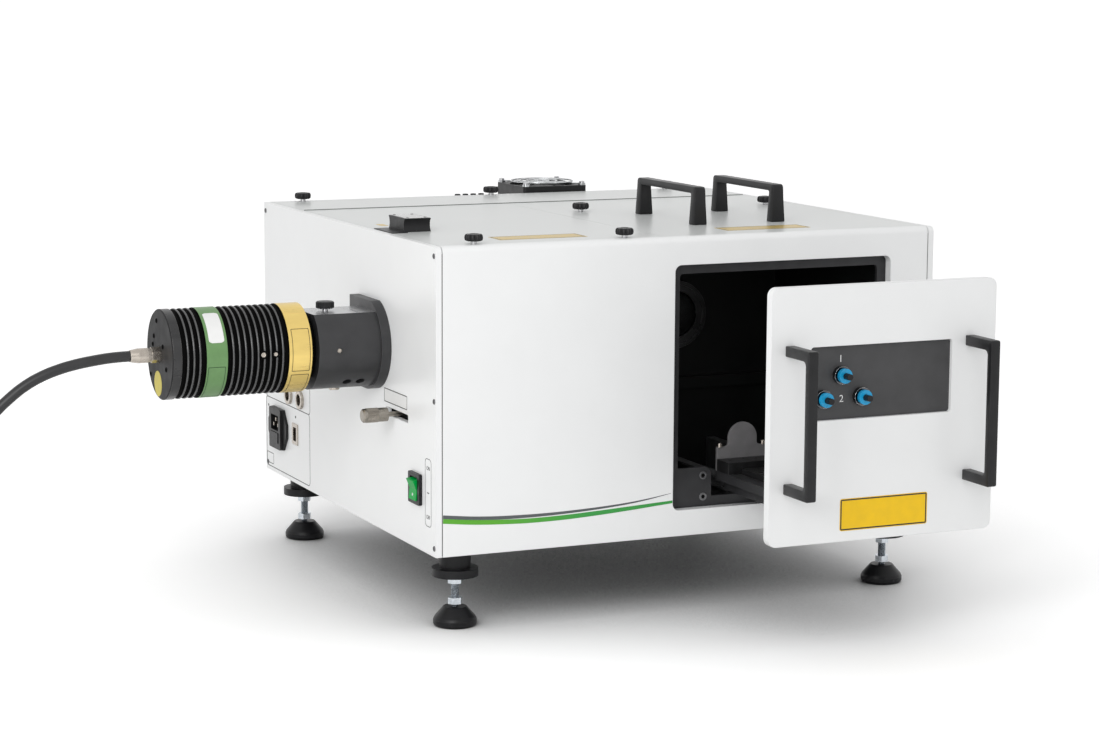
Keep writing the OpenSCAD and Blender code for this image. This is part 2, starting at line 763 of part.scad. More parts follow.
module cable_gland() {
    color("silver") place() difference() {
        union() {
            translate([head_end - 9, beam_y, beam_z]) rotate([0, 90, 0])
                cylinder(r = gland_r + 0.6, h = 9, $fn = 6);
            cyl_x(gland_r - 0.6, head_end - 12, head_end - 8, beam_y, beam_z);
            cyl_x(gland_r, head_end - 22, head_end - 12, beam_y, beam_z);
            cone_x(gland_r - 1.4, gland_r, head_end - gland_l, 8, beam_y, beam_z);
        }
        cyl_x(cable_d / 2 + fit, head_end - gland_l - 1, head_end - 14, beam_y, beam_z);
    }
}

// ---- Cable ----
// The route's points, in the part's own frame
cable_route = [[-270, 130, 264], [-288, 130, 264], [-305, 130, 263.4], [-322, 130, 261.6], [-340, 130, 258.8],
    [-356, 130, 255], [-372, 130, 249.5], [-388, 130, 241.5], [-404, 130, 230], [-420, 130, 215.5],
    [-435, 130, 198], [-449, 130, 177], [-461, 130, 153], [-472, 130, 127], [-482, 130, 101],
    [-493, 130, 76], [-506, 130, 53], [-523, 130, 33], [-545, 130, 17], [-572, 130, 8], [-605, 130, 5.3]];
cable_sides = 10;
function unit(v) = v / norm(v);
function heading(p, i) = unit(p[min(i + 1, len(p) - 1)] - p[max(i - 1, 0)]);
function rim(p, i, r, n) = let (h = heading(p, i), v = unit(cross(h, [0, 1, 0])))
    [for (a = ring(n)) p[i] + r * (cos(a) * [0, 1, 0] + sin(a) * v)];
module tube_along(p, r, n) {
    m = len(p);
    points = [for (i = [0:m - 1]) each rim(p, i, r, n)];
    sides = [for (i = [0:m - 2], k = [0:n - 1])
        [i * n + k, i * n + (k + 1) % n, (i + 1) * n + (k + 1) % n, (i + 1) * n + k]];
    polyhedron(points, concat([[for (k = [n - 1:-1:0]) k]], sides, [[for (k = [0:n - 1]) (m - 1) * n + k]]));
}
module lamp_cable() { color("#101010") tube_along(cable_route, cable_d / 2, cable_sides); }

coil_r = 60;
plug_r = 9.5;
relief_r = cable_d / 2 + 0.8;
coil_out = coil_r + cable_d;
// Where the cable, and the plug on its far end, lie against the coil
cable_meet = sqrt(coil_out * coil_out - coil_r * coil_r) + 0.2;
plug_meet = sqrt(pow(coil_out, 2) - pow(coil_out - cable_d / 2 - relief_r, 2)) + 0.3;
cable_end = cable_route[len(cable_route) - 1];
coil_mid = [cable_end[0] - cable_meet, cable_end[1] - coil_out + cable_d / 2];
module cable_coil() {
    color("#101010") translate([coil_mid[0], coil_mid[1], 0]) rotate_extrude()
        rrect([coil_r - cable_d, 0.05], [2 * cable_d, 2 * cable_d], cable_d / 2 - eps);
}
relief_l = 14;
shell_l = 28;
nose_l = 12;
module cable_plug() {
    plug_at = [coil_mid[0] - coil_out + cable_d / 2, coil_mid[1] - plug_meet, plug_r + 0.05];
    translate(plug_at) rotate([90, 0, 0]) {
        color("#1a1a1a") cylinder(r1 = relief_r, r2 = plug_r - 1, h = relief_l);
        color("silver") difference() {
            union() {
                translate([0, 0, relief_l]) cylinder(r = plug_r, h = shell_l);
                translate([0, 0, relief_l + shell_l]) cylinder(r = plug_r - 1.2, h = nose_l);
            }
            translate([0, 0, relief_l + shell_l + 2]) cylinder(r = plug_r - 2.4, h = nose_l);
        }
    }
}

// ---- Controls and sockets on the left side ----
lever_y = 108;
stem_r = 2.5;
knob_x = -35;
knob_l = 26;
module lever() {
    color("silver") place() {
        cyl_x(stem_r, knob_x + knob_l - 1, carriage_x, lever_y, slot_z);
        cyl_x(knob_d / 2 - 0.3, knob_x + 1.2, knob_x + knob_l, lever_y, slot_z);
        cone_x(knob_d / 2 - 1.6, knob_d / 2 - 0.3, knob_x, 1.2, lever_y, slot_z);
        cyl_x(knob_d / 2, knob_x + 4, knob_x + 16, lever_y, slot_z);
    }
}
carriage_x = side_t + 4;
carriage_t = 4;
guide_z = 92;
guide_h = 8;
guide_x = carriage_x + carriage_t + 4;
// How far the guide reaches in front of the lever and behind the beam
guide_front = 55;
guide_back = 75;
// How far the attenuator reaches in front of the lever, behind the beam and above it
shutter_front = 18;
shutter_back = 42;
shutter_up = 26;
shutter_hole_r = 11;
shutter_step = 26;
module attenuator() {
    color("#202020") place() difference() {
        box([carriage_x, lever_y - shutter_front, guide_z + guide_h + slide_gap],
            [carriage_x + carriage_t, beam_y + shutter_back, beam_z + shutter_up]);
        for (y = [beam_y, beam_y + shutter_step])
            cyl_x(shutter_hole_r, carriage_x - 1, carriage_x + carriage_t + 1, y, beam_z);
    }
}
// A grooved rail on the side plate's inner face, which the attenuator slides along
module lever_guide() {
    difference() {
        box([side_t, lever_y - guide_front, guide_z],
            [guide_x, beam_y + guide_back, guide_z + 2 * guide_h]);
        box([carriage_x - slide_gap, lever_y - guide_front - 1, guide_z + guide_h],
            [carriage_x + carriage_t + slide_gap, beam_y + guide_back + 1, guide_z + 2 * guide_h + 1]);
    }
}

bezel_out = 3.5;
rocker_w = switch_cut[0] - 5;
rocker_h = switch_cut[1] - 3;
// A block as large as a rectangle in Y and Z about a centre, from x0 to x1
module block_x(size, y, z, x0, x1) {
    box([x0, y - size[0] / 2, z - size[1] / 2], [x1, y + size[0] / 2, z + size[1] / 2]);
}
function grown(size, by) = [size[0] + 2 * by, size[1] + 2 * by];
module switch_bezel() {
    color("#202020") place() difference() {
        union() {
            plate_yz(-bezel_out, bezel_out)
                rrect([switch_y - switch_w / 2, switch_z - switch_h / 2], [switch_w, switch_h], 1.5);
            block_x(grown(switch_cut, -cut_gap), switch_y, switch_z, -1, side_t + 20);
        }
        block_x(grown([rocker_w, rocker_h], slide_gap), switch_y, switch_z, -bezel_out - 1, side_t + 8);
        cyl_y(1.5 + fit, switch_y - rocker_w / 2 - 1.1, switch_y + rocker_w / 2 + 1.1, rocker_x, switch_z);
    }
}
// The rocker rests with its top pushed out; it is drawn level and turned
rocker_x = 2;
module rocker() {
    h = rocker_h / 2 - 1.2;
    color("#1f9d45") place() translate([rocker_x, 0, switch_z]) rotate([0, -rocker_angle / 2, 0]) {
        plate_xz(switch_y - rocker_w / 2, rocker_w)
            polygon([[-rocker_x - 6.5, -h], [2, -h], [2, h], [-rocker_x - 6.5, h], [-rocker_x - 4, 0]]);
        cyl_y(1.5, switch_y - rocker_w / 2 - 1, switch_y + rocker_w / 2 + 1, 0, 0);
    }
}

inlet_out = 6;
inlet_ear = [30, 7];
fuse_h = 12;
// Width, height and depth of the well round the three pins
well = [24, 17, 16];
well_z = inlet_z + well[1] / 2 - 2;
fuse_z = inlet_z - 4 - fuse_h / 2;
fuse_depth = side_t + 12;
module power_inlet() {
    w = inlet_size[0] / 2;
    h = inlet_size[1] / 2;
    e = inlet_ear;
    color("#161616") place() difference() {
        union() {
            plate_yz(-3, 3) translate([inlet_y, inlet_z]) polygon(
                [[-w, -h], [w, -h], [e[0], -e[1]], e, [w, h], [-w, h], [-e[0], e[1]], -e]);
            plate_yz(-inlet_out, inlet_out) rrect([inlet_y - w, inlet_z - h], inlet_size, 2);
            block_x(grown(inlet_cut, -cut_gap), inlet_y, inlet_z, -1, side_t + 24);
        }
        block_x(well, inlet_y, well_z, -inlet_out - 1, well[2] - inlet_out);
        // bay of the fuse drawer
        block_x([well[0], fuse_h], inlet_y, fuse_z, -inlet_out - 1, fuse_depth);
    }
    color("silver") place() for (p = [[0, 10], [-7, 4], [7, 4]])
        block_x([2, 4], inlet_y + p[0], inlet_z + p[1], 0, well[2] - inlet_out + 1);
}
module fuse_drawer() {
    color("#202020") place() difference() {
        block_x(grown([well[0], fuse_h], -slide_gap), inlet_y, fuse_z, -inlet_out - 0.8, fuse_depth - 1);
        for (y = [-6, 6]) cyl_x(2.8, side_t - 10, fuse_depth, inlet_y + y, fuse_z);
    }
}
module data_sockets() {
    color("silver") place() {
        for (y = socket_y) difference() {
            union() {
                cyl_x(socket_r, -3, 0, y, socket_z);
                cyl_x(socket_r - 2 - fit, -1, side_t + 12, y, socket_z);
            }
            cyl_x(socket_r - 3.5, -4, side_t + 4, y, socket_z);
        }
        difference() {
            union() {
                block_x(grown(data_size, 2), data_y, data_z, -1.2, 0);
                block_x(grown(data_size, -cut_gap), data_y, data_z, -1, side_t + 14);
            }
            block_x(grown(data_size, -2), data_y, data_z, -2, side_t + 5);
        }
    }
}

// ---- Optics inside ----
tube_r = 16;
filter_box = [26, 50, 50];
post_x = 110;
post = [18, 28];
module beam_tube() {
    x0 = filter_x - filter_box[0] / 2;
    slot = [blade_t / 2 + slide_gap, blade_w / 2 + slide_gap];
    color("#2c2c2c") place() difference() {
        union() {
            translate([x0, beam_y, beam_z] - [0, filter_box[1], filter_box[2]] / 2) cube(filter_box);
            cyl_x(tube_r, x0, chamber_x + chamber_t, beam_y, beam_z);
            for (x = [x0 + 4, post_x, chamber_x - 50]) translate([x, beam_y - post[1] / 2, base_t])
                cube([post[0], post[1], beam_z - tube_r + 4 - base_t]);
        }
        cyl_x(tube_r - 4, x0 - 1, chamber_x + chamber_t + 1, beam_y, beam_z);
        box([filter_x - slot[0], beam_y - slot[1], beam_z - 18],
            [filter_x + slot[0], beam_y + slot[1], beam_z + filter_box[2] / 2 + 1]);
    }
}
filter_grip = [28, 46, 13.5];
waist_r = 9;
module filter_holder() {
    color("#242424") place() difference() {
        union() {
            box([filter_x - filter_grip[0] / 2, beam_y - filter_grip[1] / 2, body_h],
                [filter_x + filter_grip[0] / 2, beam_y + filter_grip[1] / 2, body_h + filter_grip[2]]);
            box([filter_x - blade_t / 2, beam_y - blade_w / 2, beam_z - 17.7],
                [filter_x + blade_t / 2, beam_y + blade_w / 2, body_h + 1]);
        }
        // waisted front and back, for the fingers
        for (s = [-1, 1]) cyl_x(waist_r, filter_x - filter_grip[0], filter_x + filter_grip[0],
            beam_y + s * (filter_grip[1] / 2 + waist_r - 3.5), body_h + filter_grip[2] / 2);
        cyl_x(11, filter_x - blade_t, filter_x + blade_t, beam_y, beam_z);
    }
}

mono_left = 91.8;
mono_right = 83.2;
mono_up = 32;
mono_x = [chamber_mid - mono_left, chamber_mid + mono_right];
mono_z = neck_z + mono_up;
mono_wall = 8;
module monochromator() {
    color("#262628") place() difference() {
        union() {
            box([mono_x[0], tube_end, base_t], [mono_x[1], rear_y - 20, mono_z - 8]);
            box([mono_x[0] - 4, tube_end + 4, mono_z - 8], [mono_x[1] + 4, rear_y - 24, mono_z]);
            cyl_y(neck_r, rear_y - 21, body_d, detector_x, neck_z);
            cyl_z(18, mono_z - 1, mono_z + 9, (mono_x[0] + mono_x[1]) / 2 + 30, (tube_end + rear_y) / 2);
        }
        // the room for its grating and mirrors, between the entrance and the detector's neck
        box([mono_x[0] + mono_wall, tube_end + mono_wall, base_t + mono_wall],
            [mono_x[1] - mono_wall, rear_y - 20 - mono_wall, mono_z - 8 - mono_wall]);
        cyl_y(neck_r - 6, rear_y - 30, body_d + 1, detector_x, neck_z);
        cyl_y(lens_tube_r - 6, tube_end - 1, tube_end + 20, chamber_mid, beam_z);
    }
}
psu_at = [40, 250];
psu_size = [110, 170, 60];
psu_wall = 2;
vent_w = 8;
module power_supply() {
    w = psu_wall;
    color("silver") place() translate([psu_at[0], psu_at[1], base_t]) difference() {
        cube(psu_size);
        translate([w, w, w]) cube(psu_size - 2 * [w, w, w]);
        for (y = [20:18:psu_size[1] - 24]) translate([10, y, psu_size[2] - w - 1])
            cube([psu_size[0] - 20, vent_w, w + 2]);
    }
}

// ---- Feet ----
nut_af = 13;
pad_h = 19;
hub_z = 18;
hub_t = 8;
foot_at = [[foot_inset, foot_inset], [body_w - foot_inset, foot_inset],
    [foot_inset, body_d - foot_inset], [body_w - foot_inset, body_d - foot_inset]];
module foot_hubs() {
    color("#1a1a1a") place() for (p = foot_at) translate([p[0], p[1], 0]) difference() {
        union() {
            translate([0, 0, -hub_z]) cylinder(r1 = hub_d / 3, r2 = hub_d / 3 + 0.8, h = hub_z);
            translate([0, 0, -hub_z - hub_t]) cylinder(r = hub_d / 2, h = hub_t);
        }
        translate([0, 0, -hub_z - hub_t - 1]) cylinder(r = stud_d / 2 + fit, h = hub_z + hub_t);
    }
}
nut_t = 6.5;
module foot(i) {
    color("#151515") place() translate([foot_at[i][0], foot_at[i][1], -foot_h]) {
        rotate_extrude($fn = 64) difference() {
            union() {
                square([pad_d / 2 - 3, 3]);
                translate([0, 3]) square([pad_d / 2, 3.5]);
                translate([pad_d / 2 - 3, 3]) circle(3);
                polygon([[0, 6], [pad_d / 2, 6], [pad_d / 2 - 1.2, 9], [12.5, pad_h - 1],
                    [11.5, pad_h], [0, pad_h]]);
            }
            translate([0, pad_h - 3]) square([stud_d / 2 - 0.8, 4]);
        }
    }
    color("silver") place() translate([foot_at[i][0], foot_at[i][1], -foot_h]) {
        translate([0, 0, pad_h - 3]) cylinder(r = stud_d / 2 - 0.8, h = 6);
        translate([0, 0, pad_h + 2.5]) cylinder(d = nut_af / cos(30), h = nut_t, $fn = 6);
        translate([0, 0, pad_h + 2]) cylinder(r = stud_d / 2, h = foot_h - pad_h - 8);
        translate([0, 0, foot_h - hub_z - hub_t - nut_t - 1.5])
            cylinder(d = nut_af / cos(30), h = nut_t, $fn = 6);
        translate([0, 0, foot_h - hub_z - hub_t - 1.5]) cylinder(r = nut_af / 2 + 1.5, h = 1.2);
    }
}
module foot_1() { foot(0); }
module foot_2() { foot(1); }
module foot_3() { foot(2); }
module foot_4() { foot(3); }

// ---- Detector behind the housing ----
// How far the fan stands above the housing, and the detector's floor below its neck
fan_up = 6.5;
detector_down = 60;
fan_top = body_h + fan_up;
fan_z = fan_top - fan_t;
fan_y = body_d + 5;
fan_x = detector_x - fan_w / 2;
detector_z = neck_z - detector_down;
detector_wall = 5;
module detector_housing() {
    x0 = detector_x - detector_w / 2;
    w = detector_wall;
    y1 = body_d + detector_d;
    color("#1e1e1e") place() difference() {
        box([x0, body_d, detector_z], [x0 + detector_w, y1, fan_z]);
        box([x0 + w, body_d + w, detector_z + w], [x0 + detector_w - w, y1 - w, fan_z - w]);
        cyl_y(neck_r - 6, body_d - 1, body_d + 30, detector_x, neck_z);
        // the fan draws through its top, and slots in its back let the air in
        cyl_z(fan_w / 2 - 6, fan_z - w - 1, fan_z + 1, fan_x + fan_w / 2, fan_y + fan_w / 2);
        for (x = [x0 + 8:10:x0 + detector_w - 12])
            box([x, y1 - w - 1, detector_z + 10], [x + 4, y1 + 1, fan_z - 10]);
    }
}
duct_r = fan_w / 2 - 2.5;
hub_r = 14;
arm_t = 3;
hole_pitch = 71.5;
module at_fan() { place() translate([fan_x + fan_w / 2, fan_y + fan_w / 2, fan_z]) children(); }
module fan_frame() {
    color("#1a1a1a") at_fan() difference() {
        union() {
            difference() {
                plate_xy(0, fan_t) rrect([-fan_w / 2, -fan_w / 2], [fan_w, fan_w], 3.5);
                translate([0, 0, -1]) cylinder(r = duct_r, h = fan_t + 2);
            }
            for (a = ring(4)) rotate(a) translate([hub_r - 1, -arm_t / 2, 0])
                cube([duct_r - hub_r + 2, arm_t, arm_t]);
            cylinder(r = hub_r, h = arm_t);
        }
        for (x = [-1, 1], y = [-1, 1]) translate([x * hole_pitch / 2, y * hole_pitch / 2, -1])
            cylinder(r = 2.2, h = fan_t + 2);
        translate([0, 0, 1]) cylinder(r = shaft_r + fit, h = arm_t);
    }
}
wire_r = 0.9;
guard_rings = 4;
module fan_guard() {
    color("silver") at_fan() translate([0, 0, fan_t + 3 * wire_r]) {
        for (i = [1:guard_rings]) rotate_extrude()
            translate([i * duct_r / guard_rings - 1, 0.6]) circle(wire_r, $fn = 16);
        for (a = ring(4)) rotate(a + 45) translate([6, 0, -wire_r]) rotate([0, 90, 0])
            cylinder(r = wire_r, h = hole_pitch / sqrt(2) - 9, $fn = 16);
        for (x = [-1, 1], y = [-1, 1]) translate([x * hole_pitch / 2, y * hole_pitch / 2, -3 * wire_r])
            difference() {
                cylinder(r = 4.4, h = 2 * wire_r + 0.4);
                translate([0, 0, -1]) cylinder(r = 2.4, h = 2 * wire_r + 3);
            }
    }
}
shaft_r = 2.5;
vane_t = 1.6;
module fan_rotor() {
    color("#222222") at_fan() {
        translate([0, 0, 1.3]) cylinder(r = shaft_r, h = 4);
        translate([0, 0, arm_t + 0.5]) cylinder(r = hub_r, h = fan_t - arm_t - 3);
        intersection() {
            translate([0, 0, arm_t + 0.5]) difference() {
                cylinder(r = duct_r - 1.2, h = fan_t - arm_t - 3);
                translate([0, 0, -1]) cylinder(r = hub_r - 1, h = fan_t);
            }
            for (a = ring(blade_count)) rotate(a) translate([hub_r - 2, 0, fan_t / 2 + 1]) rotate([38, 0, 0])
                translate([0, -18, -vane_t / 2]) cube([duct_r, 36, vane_t]);
        }
    }
}

base_plate();
left_plate();
right_plate();
front_panel();
rear_panel();
lid_rails();
optics_lid();
chamber_lid();
rear_cover();
lid_handles();
optics_screw_1();
optics_screw_2();
chamber_screw_1();
chamber_screw_2();
rear_screw_1();
rear_screw_2();
rear_screw_3();
chamber_box();
chamber_frame();
lens_tube();
slide_channels();
slide_members();
drawer_tray();
breadboard();
baffle_plate();
cuvette_holder();
drawer_door();
door_handles();
port_panel();
port_fittings();
release_ring_1();
release_ring_2();
release_ring_3();
lamp_mount();
mount_screw();
lamp_body();
cable_gland();
lamp_cable();
cable_coil();
cable_plug();
lever();
attenuator();
switch_bezel();
rocker();
power_inlet();
fuse_drawer();
data_sockets();
beam_tube();
filter_holder();
monochromator();
power_supply();
foot_hubs();
foot_1();
foot_2();
foot_3();
foot_4();
detector_housing();
fan_frame();
fan_guard();
fan_rotor();
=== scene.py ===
from math import cos, hypot, pi, radians, sin

import bmesh
import bpy
from mathutils import Matrix, Vector


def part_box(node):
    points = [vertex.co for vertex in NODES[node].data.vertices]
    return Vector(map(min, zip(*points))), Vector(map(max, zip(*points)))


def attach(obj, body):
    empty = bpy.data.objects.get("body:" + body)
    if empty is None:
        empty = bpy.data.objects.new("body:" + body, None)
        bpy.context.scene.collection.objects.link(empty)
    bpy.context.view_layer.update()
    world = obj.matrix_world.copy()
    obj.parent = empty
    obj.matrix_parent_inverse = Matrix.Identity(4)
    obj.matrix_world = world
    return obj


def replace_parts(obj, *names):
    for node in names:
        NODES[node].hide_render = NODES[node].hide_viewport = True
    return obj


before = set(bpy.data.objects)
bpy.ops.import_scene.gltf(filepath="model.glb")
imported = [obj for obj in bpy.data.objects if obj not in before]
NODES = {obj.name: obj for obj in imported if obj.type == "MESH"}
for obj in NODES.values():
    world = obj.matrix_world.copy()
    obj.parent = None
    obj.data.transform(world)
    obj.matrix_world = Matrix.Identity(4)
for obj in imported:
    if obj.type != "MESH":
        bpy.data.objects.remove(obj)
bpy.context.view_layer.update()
scene = bpy.context.scene
X, Y, Z = Vector((1, 0, 0)), Vector((0, 1, 0)), Vector((0, 0, 1))
# Sizes are in millimetres from the housing's front left bottom corner. In the model it lies here:
CORNER = (-33, -33, 76)
LID_TOP = 300                  # height of the lids' upper faces
LAMP_Y, LAMP_Z = 163, 188      # axis of the lamp head, along X
LAMP_R, LAMP_VALLEY = 44.3, 41.3    # radius of its bands and of the floor between its fins
LAMP_END = -223                # its outer end


def at(x, y, z):
    """A point given in millimetres from that corner, in the model's metres."""
    return Vector((x + CORNER[0], y + CORNER[1], z + CORNER[2])) / 1000


def place(point):
    """The reverse of at: a point of the model, in millimetres from that corner."""
    return point * 1000 - Vector(CORNER)


# ---------------------------------------------------------------- camera
AZ, PITCH, ROLL = radians(24.354), radians(8.564), radians(0.287)
CAMERA_AT, LENS = (-0.99993, -2.43178, 0.65190), 90.04
ahead = Vector((sin(AZ) * cos(PITCH), cos(AZ) * cos(PITCH), -sin(PITCH)))
level = Vector((cos(AZ), -sin(AZ), 0))
upward = level.cross(ahead)
right = cos(ROLL) * level + sin(ROLL) * upward
up = -sin(ROLL) * level + cos(ROLL) * upward
camera = bpy.data.objects.new("camera", bpy.data.cameras.new("camera"))
camera.data.lens = LENS
camera.data.sensor_width = 36
camera.data.clip_end = 100
turn = Matrix((right, up, -ahead)).transposed().to_4x4()
camera.matrix_world = Matrix.Translation(CAMERA_AT) @ turn
scene.collection.objects.link(camera)
scene.camera = camera


# ------------------------------------------------------------- materials
def material(name, colour, rough=0.5, metal=0.0, vary=0.05, patch=14, grain=0.0, grain_size=0.6,
             stretch=(1, 1, 1), spread=0.06, edge=0.35, edge_wear_and_highlight_colour=None, edge_wear_and_highlight=0.0, coat=0.0, shine=0.5,
             tint=None, relief=None):
    """A finish with blotches, a fine grain, softened edges and, if asked, a lighter colour along
    them, which is rubbing and on some finishes a painted highlight.

    patch, grain_size and edge are in millimetres. tint(tree, tone, mix, ramp, where) may change
    the colour, and relief(tree, height, where) the height of the bumps."""
    m = bpy.data.materials.new(name)
    m.use_nodes = True
    t = m.node_tree
    add, link = t.nodes.new, t.links.new
    b = t.nodes["Principled BSDF"]
    b.inputs["Metallic"].default_value = metal
    b.inputs["Specular IOR Level"].default_value = shine
    b.inputs["Coat Weight"].default_value = coat
    b.inputs["Coat Roughness"].default_value = 0.2
    where = add("ShaderNodeTexCoord").outputs["Object"]
    scale = add("ShaderNodeMapping")
    scale.inputs["Scale"].default_value = [1000 * s for s in stretch]
    link(where, scale.inputs["Vector"])

    def noise(size, detail):
        n = add("ShaderNodeTexNoise")
        n.inputs["Scale"].default_value = 1 / size
        n.inputs["Detail"].default_value = detail
        link(scale.outputs[0], n.inputs["Vector"])
        return n.outputs["Fac"]

    def ramp(value, low, high, to_low, to_high):
        r = add("ShaderNodeMapRange")
        for i, x in enumerate((low, high, to_low, to_high), 1):
            r.inputs[i].default_value = x
        link(value, r.inputs[0])
        return r.outputs[0]

    def mix(fac, a, c):
        x = add("ShaderNodeMix")
        x.data_type = "RGBA"
        for s, v in ((x.inputs[0], fac), (x.inputs[6], a), (x.inputs[7], c)):
            if isinstance(v, bpy.types.NodeSocket):
                link(v, s)
            elif isinstance(v, float):
                s.default_value = v
            else:
                s.default_value = (*v, 1)
        return x.outputs[2]

    blotch, fine = noise(patch, 3), noise(grain_size, 2)
    tone = mix(ramp(blotch, 0.3, 0.7, 0.0, 1.0), [c * (1 - vary) for c in colour],
               [min(1, c * (1 + vary)) for c in colour])
    if tint:
        tone = tint(t, tone, mix, ramp, where)
    link(ramp(blotch, 0.3, 0.7, max(0.02, rough - spread), min(1, rough + spread)),
         b.inputs["Roughness"])
    round_edge = add("ShaderNodeBevel")
    round_edge.samples = 4
    round_edge.inputs["Radius"].default_value = edge / 1000
    if edge_wear_and_highlight:
        # near an edge the rounded normal leans away from the face's own; there the colour
        # lightens, partly rubbed edges and on some finishes a painted highlight
        dot = add("ShaderNodeVectorMath")
        dot.operation = "DOT_PRODUCT"
        link(round_edge.outputs[0], dot.inputs[0])
        link(add("ShaderNodeNewGeometry").outputs["Normal"], dot.inputs[1])
        near = ramp(dot.outputs["Value"], 0.995, 0.86, 0.0, 1.0)
        much = add("ShaderNodeMath")
        much.operation = "MULTIPLY"
        link(near, much.inputs[0])
        link(ramp(blotch, 0.35, 0.65, 0.2 * edge_wear_and_highlight, edge_wear_and_highlight), much.inputs[1])
        tone = mix(much.outputs[0], tone, edge_wear_and_highlight_colour)
    link(tone, b.inputs["Base Color"])
    bump = add("ShaderNodeBump")
    bump.inputs["Strength"].default_value = 1.0
    bump.inputs["Distance"].default_value = 0.001
    height = ramp(fine, 0.0, 1.0, 0.0, grain)
    if relief:
        height = relief(t, height, where)
    link(height, bump.inputs["Height"])
    link(round_edge.outputs[0], bump.inputs["Normal"])
    link(bump.outputs[0], b.inputs["Normal"])
    return m


def op(t, kind, a, c=None):
    """A math node on sockets or numbers, whose result it returns."""
    n = t.nodes.new("ShaderNodeMath")
    n.operation = kind
    for s, v in zip(n.inputs, (a, c)):
        if isinstance(v, bpy.types.NodeSocket):
            t.links.new(v, s)
        elif v is not None:
            s.default_value = v
    return n.outputs[0]


def knurl(axis, centre, pitch, depth, count):
    """Bump of a diamond knurl round an axis, 0 to 2. centre is its place on the other two axes,
    and pitch the knurl's step along it, both in metres; count is the number of ridges round."""
    def build(t, height, where):
        split = t.nodes.new("ShaderNodeSeparateXYZ")
        t.links.new(where, split.inputs[0])
        others = [i for i in range(3) if i != axis]
        d = [op(t, "SUBTRACT", split.outputs[o], c) for o, c in zip(others, centre)]
        angle = op(t, "MULTIPLY", op(t, "ARCTAN2", d[0], d[1]), float(count))
        along = op(t, "MULTIPLY", split.outputs[axis], 2 * pi / pitch)
        waves = [op(t, "ABSOLUTE", op(t, "SINE", op(t, "MULTIPLY", op(t, k, angle, along), 0.5)))
                 for k in ("ADD", "SUBTRACT")]
        return op(t, "ADD", height, op(t, "MULTIPLY", op(t, "MINIMUM", *waves), depth))
    return build


def thread(pitch, depth):
    """Bump of a screw thread along Z, with its pitch in metres."""
    def build(t, height, where):
        split = t.nodes.new("ShaderNodeSeparateXYZ")
        t.links.new(where, split.inputs[0])
        wave = op(t, "SINE", op(t, "MULTIPLY", split.outputs[2], 2 * pi / pitch))
        return op(t, "ADD", height, op(t, "MULTIPLY", wave, depth))
    return build


WHITE = (0.9, 0.907, 0.908)
enamel = material("enamel", WHITE, 0.34, vary=0.012, patch=60, grain=0.03, grain_size=1.3,
                  spread=0.04, edge=0.8, edge_wear_and_highlight_colour=(0.93, 0.93, 0.93), edge_wear_and_highlight=0.5, coat=0.2)
# the lids' and cover's enamel is painted darker than the sides': painted shade on the upward faces
shaded_lid_enamel = material("shaded_lid_enamel", (0.69, 0.707, 0.698), 0.33, vary=0.012, patch=60, grain=0.012,
                      grain_size=1.3, spread=0.03, edge=0.8, edge_wear_and_highlight_colour=(0.9, 0.9, 0.9), edge_wear_and_highlight=0.5,
                      coat=0.1)
aluminium = material("aluminium", (0.62, 0.63, 0.64), 0.38, 1.0, 0.08, 20, 0.03, 0.35,
                     (0.06, 1, 1))
# the handles' lighter edges are partly rubbed and partly a painted highlight
black_bar = material("black_bar", (0.011, 0.011, 0.012), 0.36, vary=0.25, patch=20, grain=0.03,
                     grain_size=0.5, edge=0.5, edge_wear_and_highlight_colour=(0.09, 0.09, 0.09), edge_wear_and_highlight=0.5, shine=0.3)
black_plastic = material("black_plastic", (0.009, 0.009, 0.01), 0.4, vary=0.2, patch=6, grain=0.02,
                         grain_size=0.4, edge=0.3, edge_wear_and_highlight_colour=(0.07, 0.07, 0.07), edge_wear_and_highlight=0.4, shine=0.3)
matt_black = material("matt_black", (0.006, 0.0065, 0.0065), 0.62, vary=0.3, patch=30, grain=0.01,
                      grain_size=0.8, edge=0.4, shine=0.2)
# the lens tube's lighter rim is partly rubbed and partly a painted highlight
tube_black = material("tube_black", (0.008, 0.008, 0.0085), 0.3, vary=0.2, patch=20, edge=0.6,
                      edge_wear_and_highlight_colour=(0.3, 0.3, 0.3), edge_wear_and_highlight=0.8, shine=0.3)
anodised = material("anodised", (0.035, 0.035, 0.037), 0.45, 0.2, 0.15, 18, 0.015, 0.3, edge=0.4,
                    edge_wear_and_highlight_colour=(0.16, 0.16, 0.17), edge_wear_and_highlight=0.5, shine=0.3)
board_black = material("board_black", (0.013, 0.013, 0.0135), 0.42, 0.1, 0.2, 12, 0.01, 0.3,
                       edge=0.4, edge_wear_and_highlight_colour=(0.14, 0.14, 0.14), edge_wear_and_highlight=0.5, shine=0.3)
grey_anodised = material("grey_anodised", (0.066, 0.066, 0.068), 0.42, 0.2, 0.1, 25, 0.012, 0.25,
                         edge=0.3, edge_wear_and_highlight_colour=(0.3, 0.3, 0.31), edge_wear_and_highlight=0.5, shine=0.3)
baffle_grey = material("baffle_grey", (0.22, 0.215, 0.22), 0.5, 0.3, 0.1, 15, 0.01, 0.25, edge=0.3,
                       edge_wear_and_highlight_colour=(0.5, 0.5, 0.5), edge_wear_and_highlight=0.5, shine=0.3)
# the lamp head's lighter edges are partly rubbed and partly a painted highlight
lamp_black = material("lamp_black", (0.04, 0.04, 0.041), 0.3, 0.5, 0.15, 12, 0.012, 0.3,
                      (0.3, 1, 1), edge=0.9, edge_wear_and_highlight_colour=(0.3, 0.29, 0.28), edge_wear_and_highlight=0.7, shine=0.5)
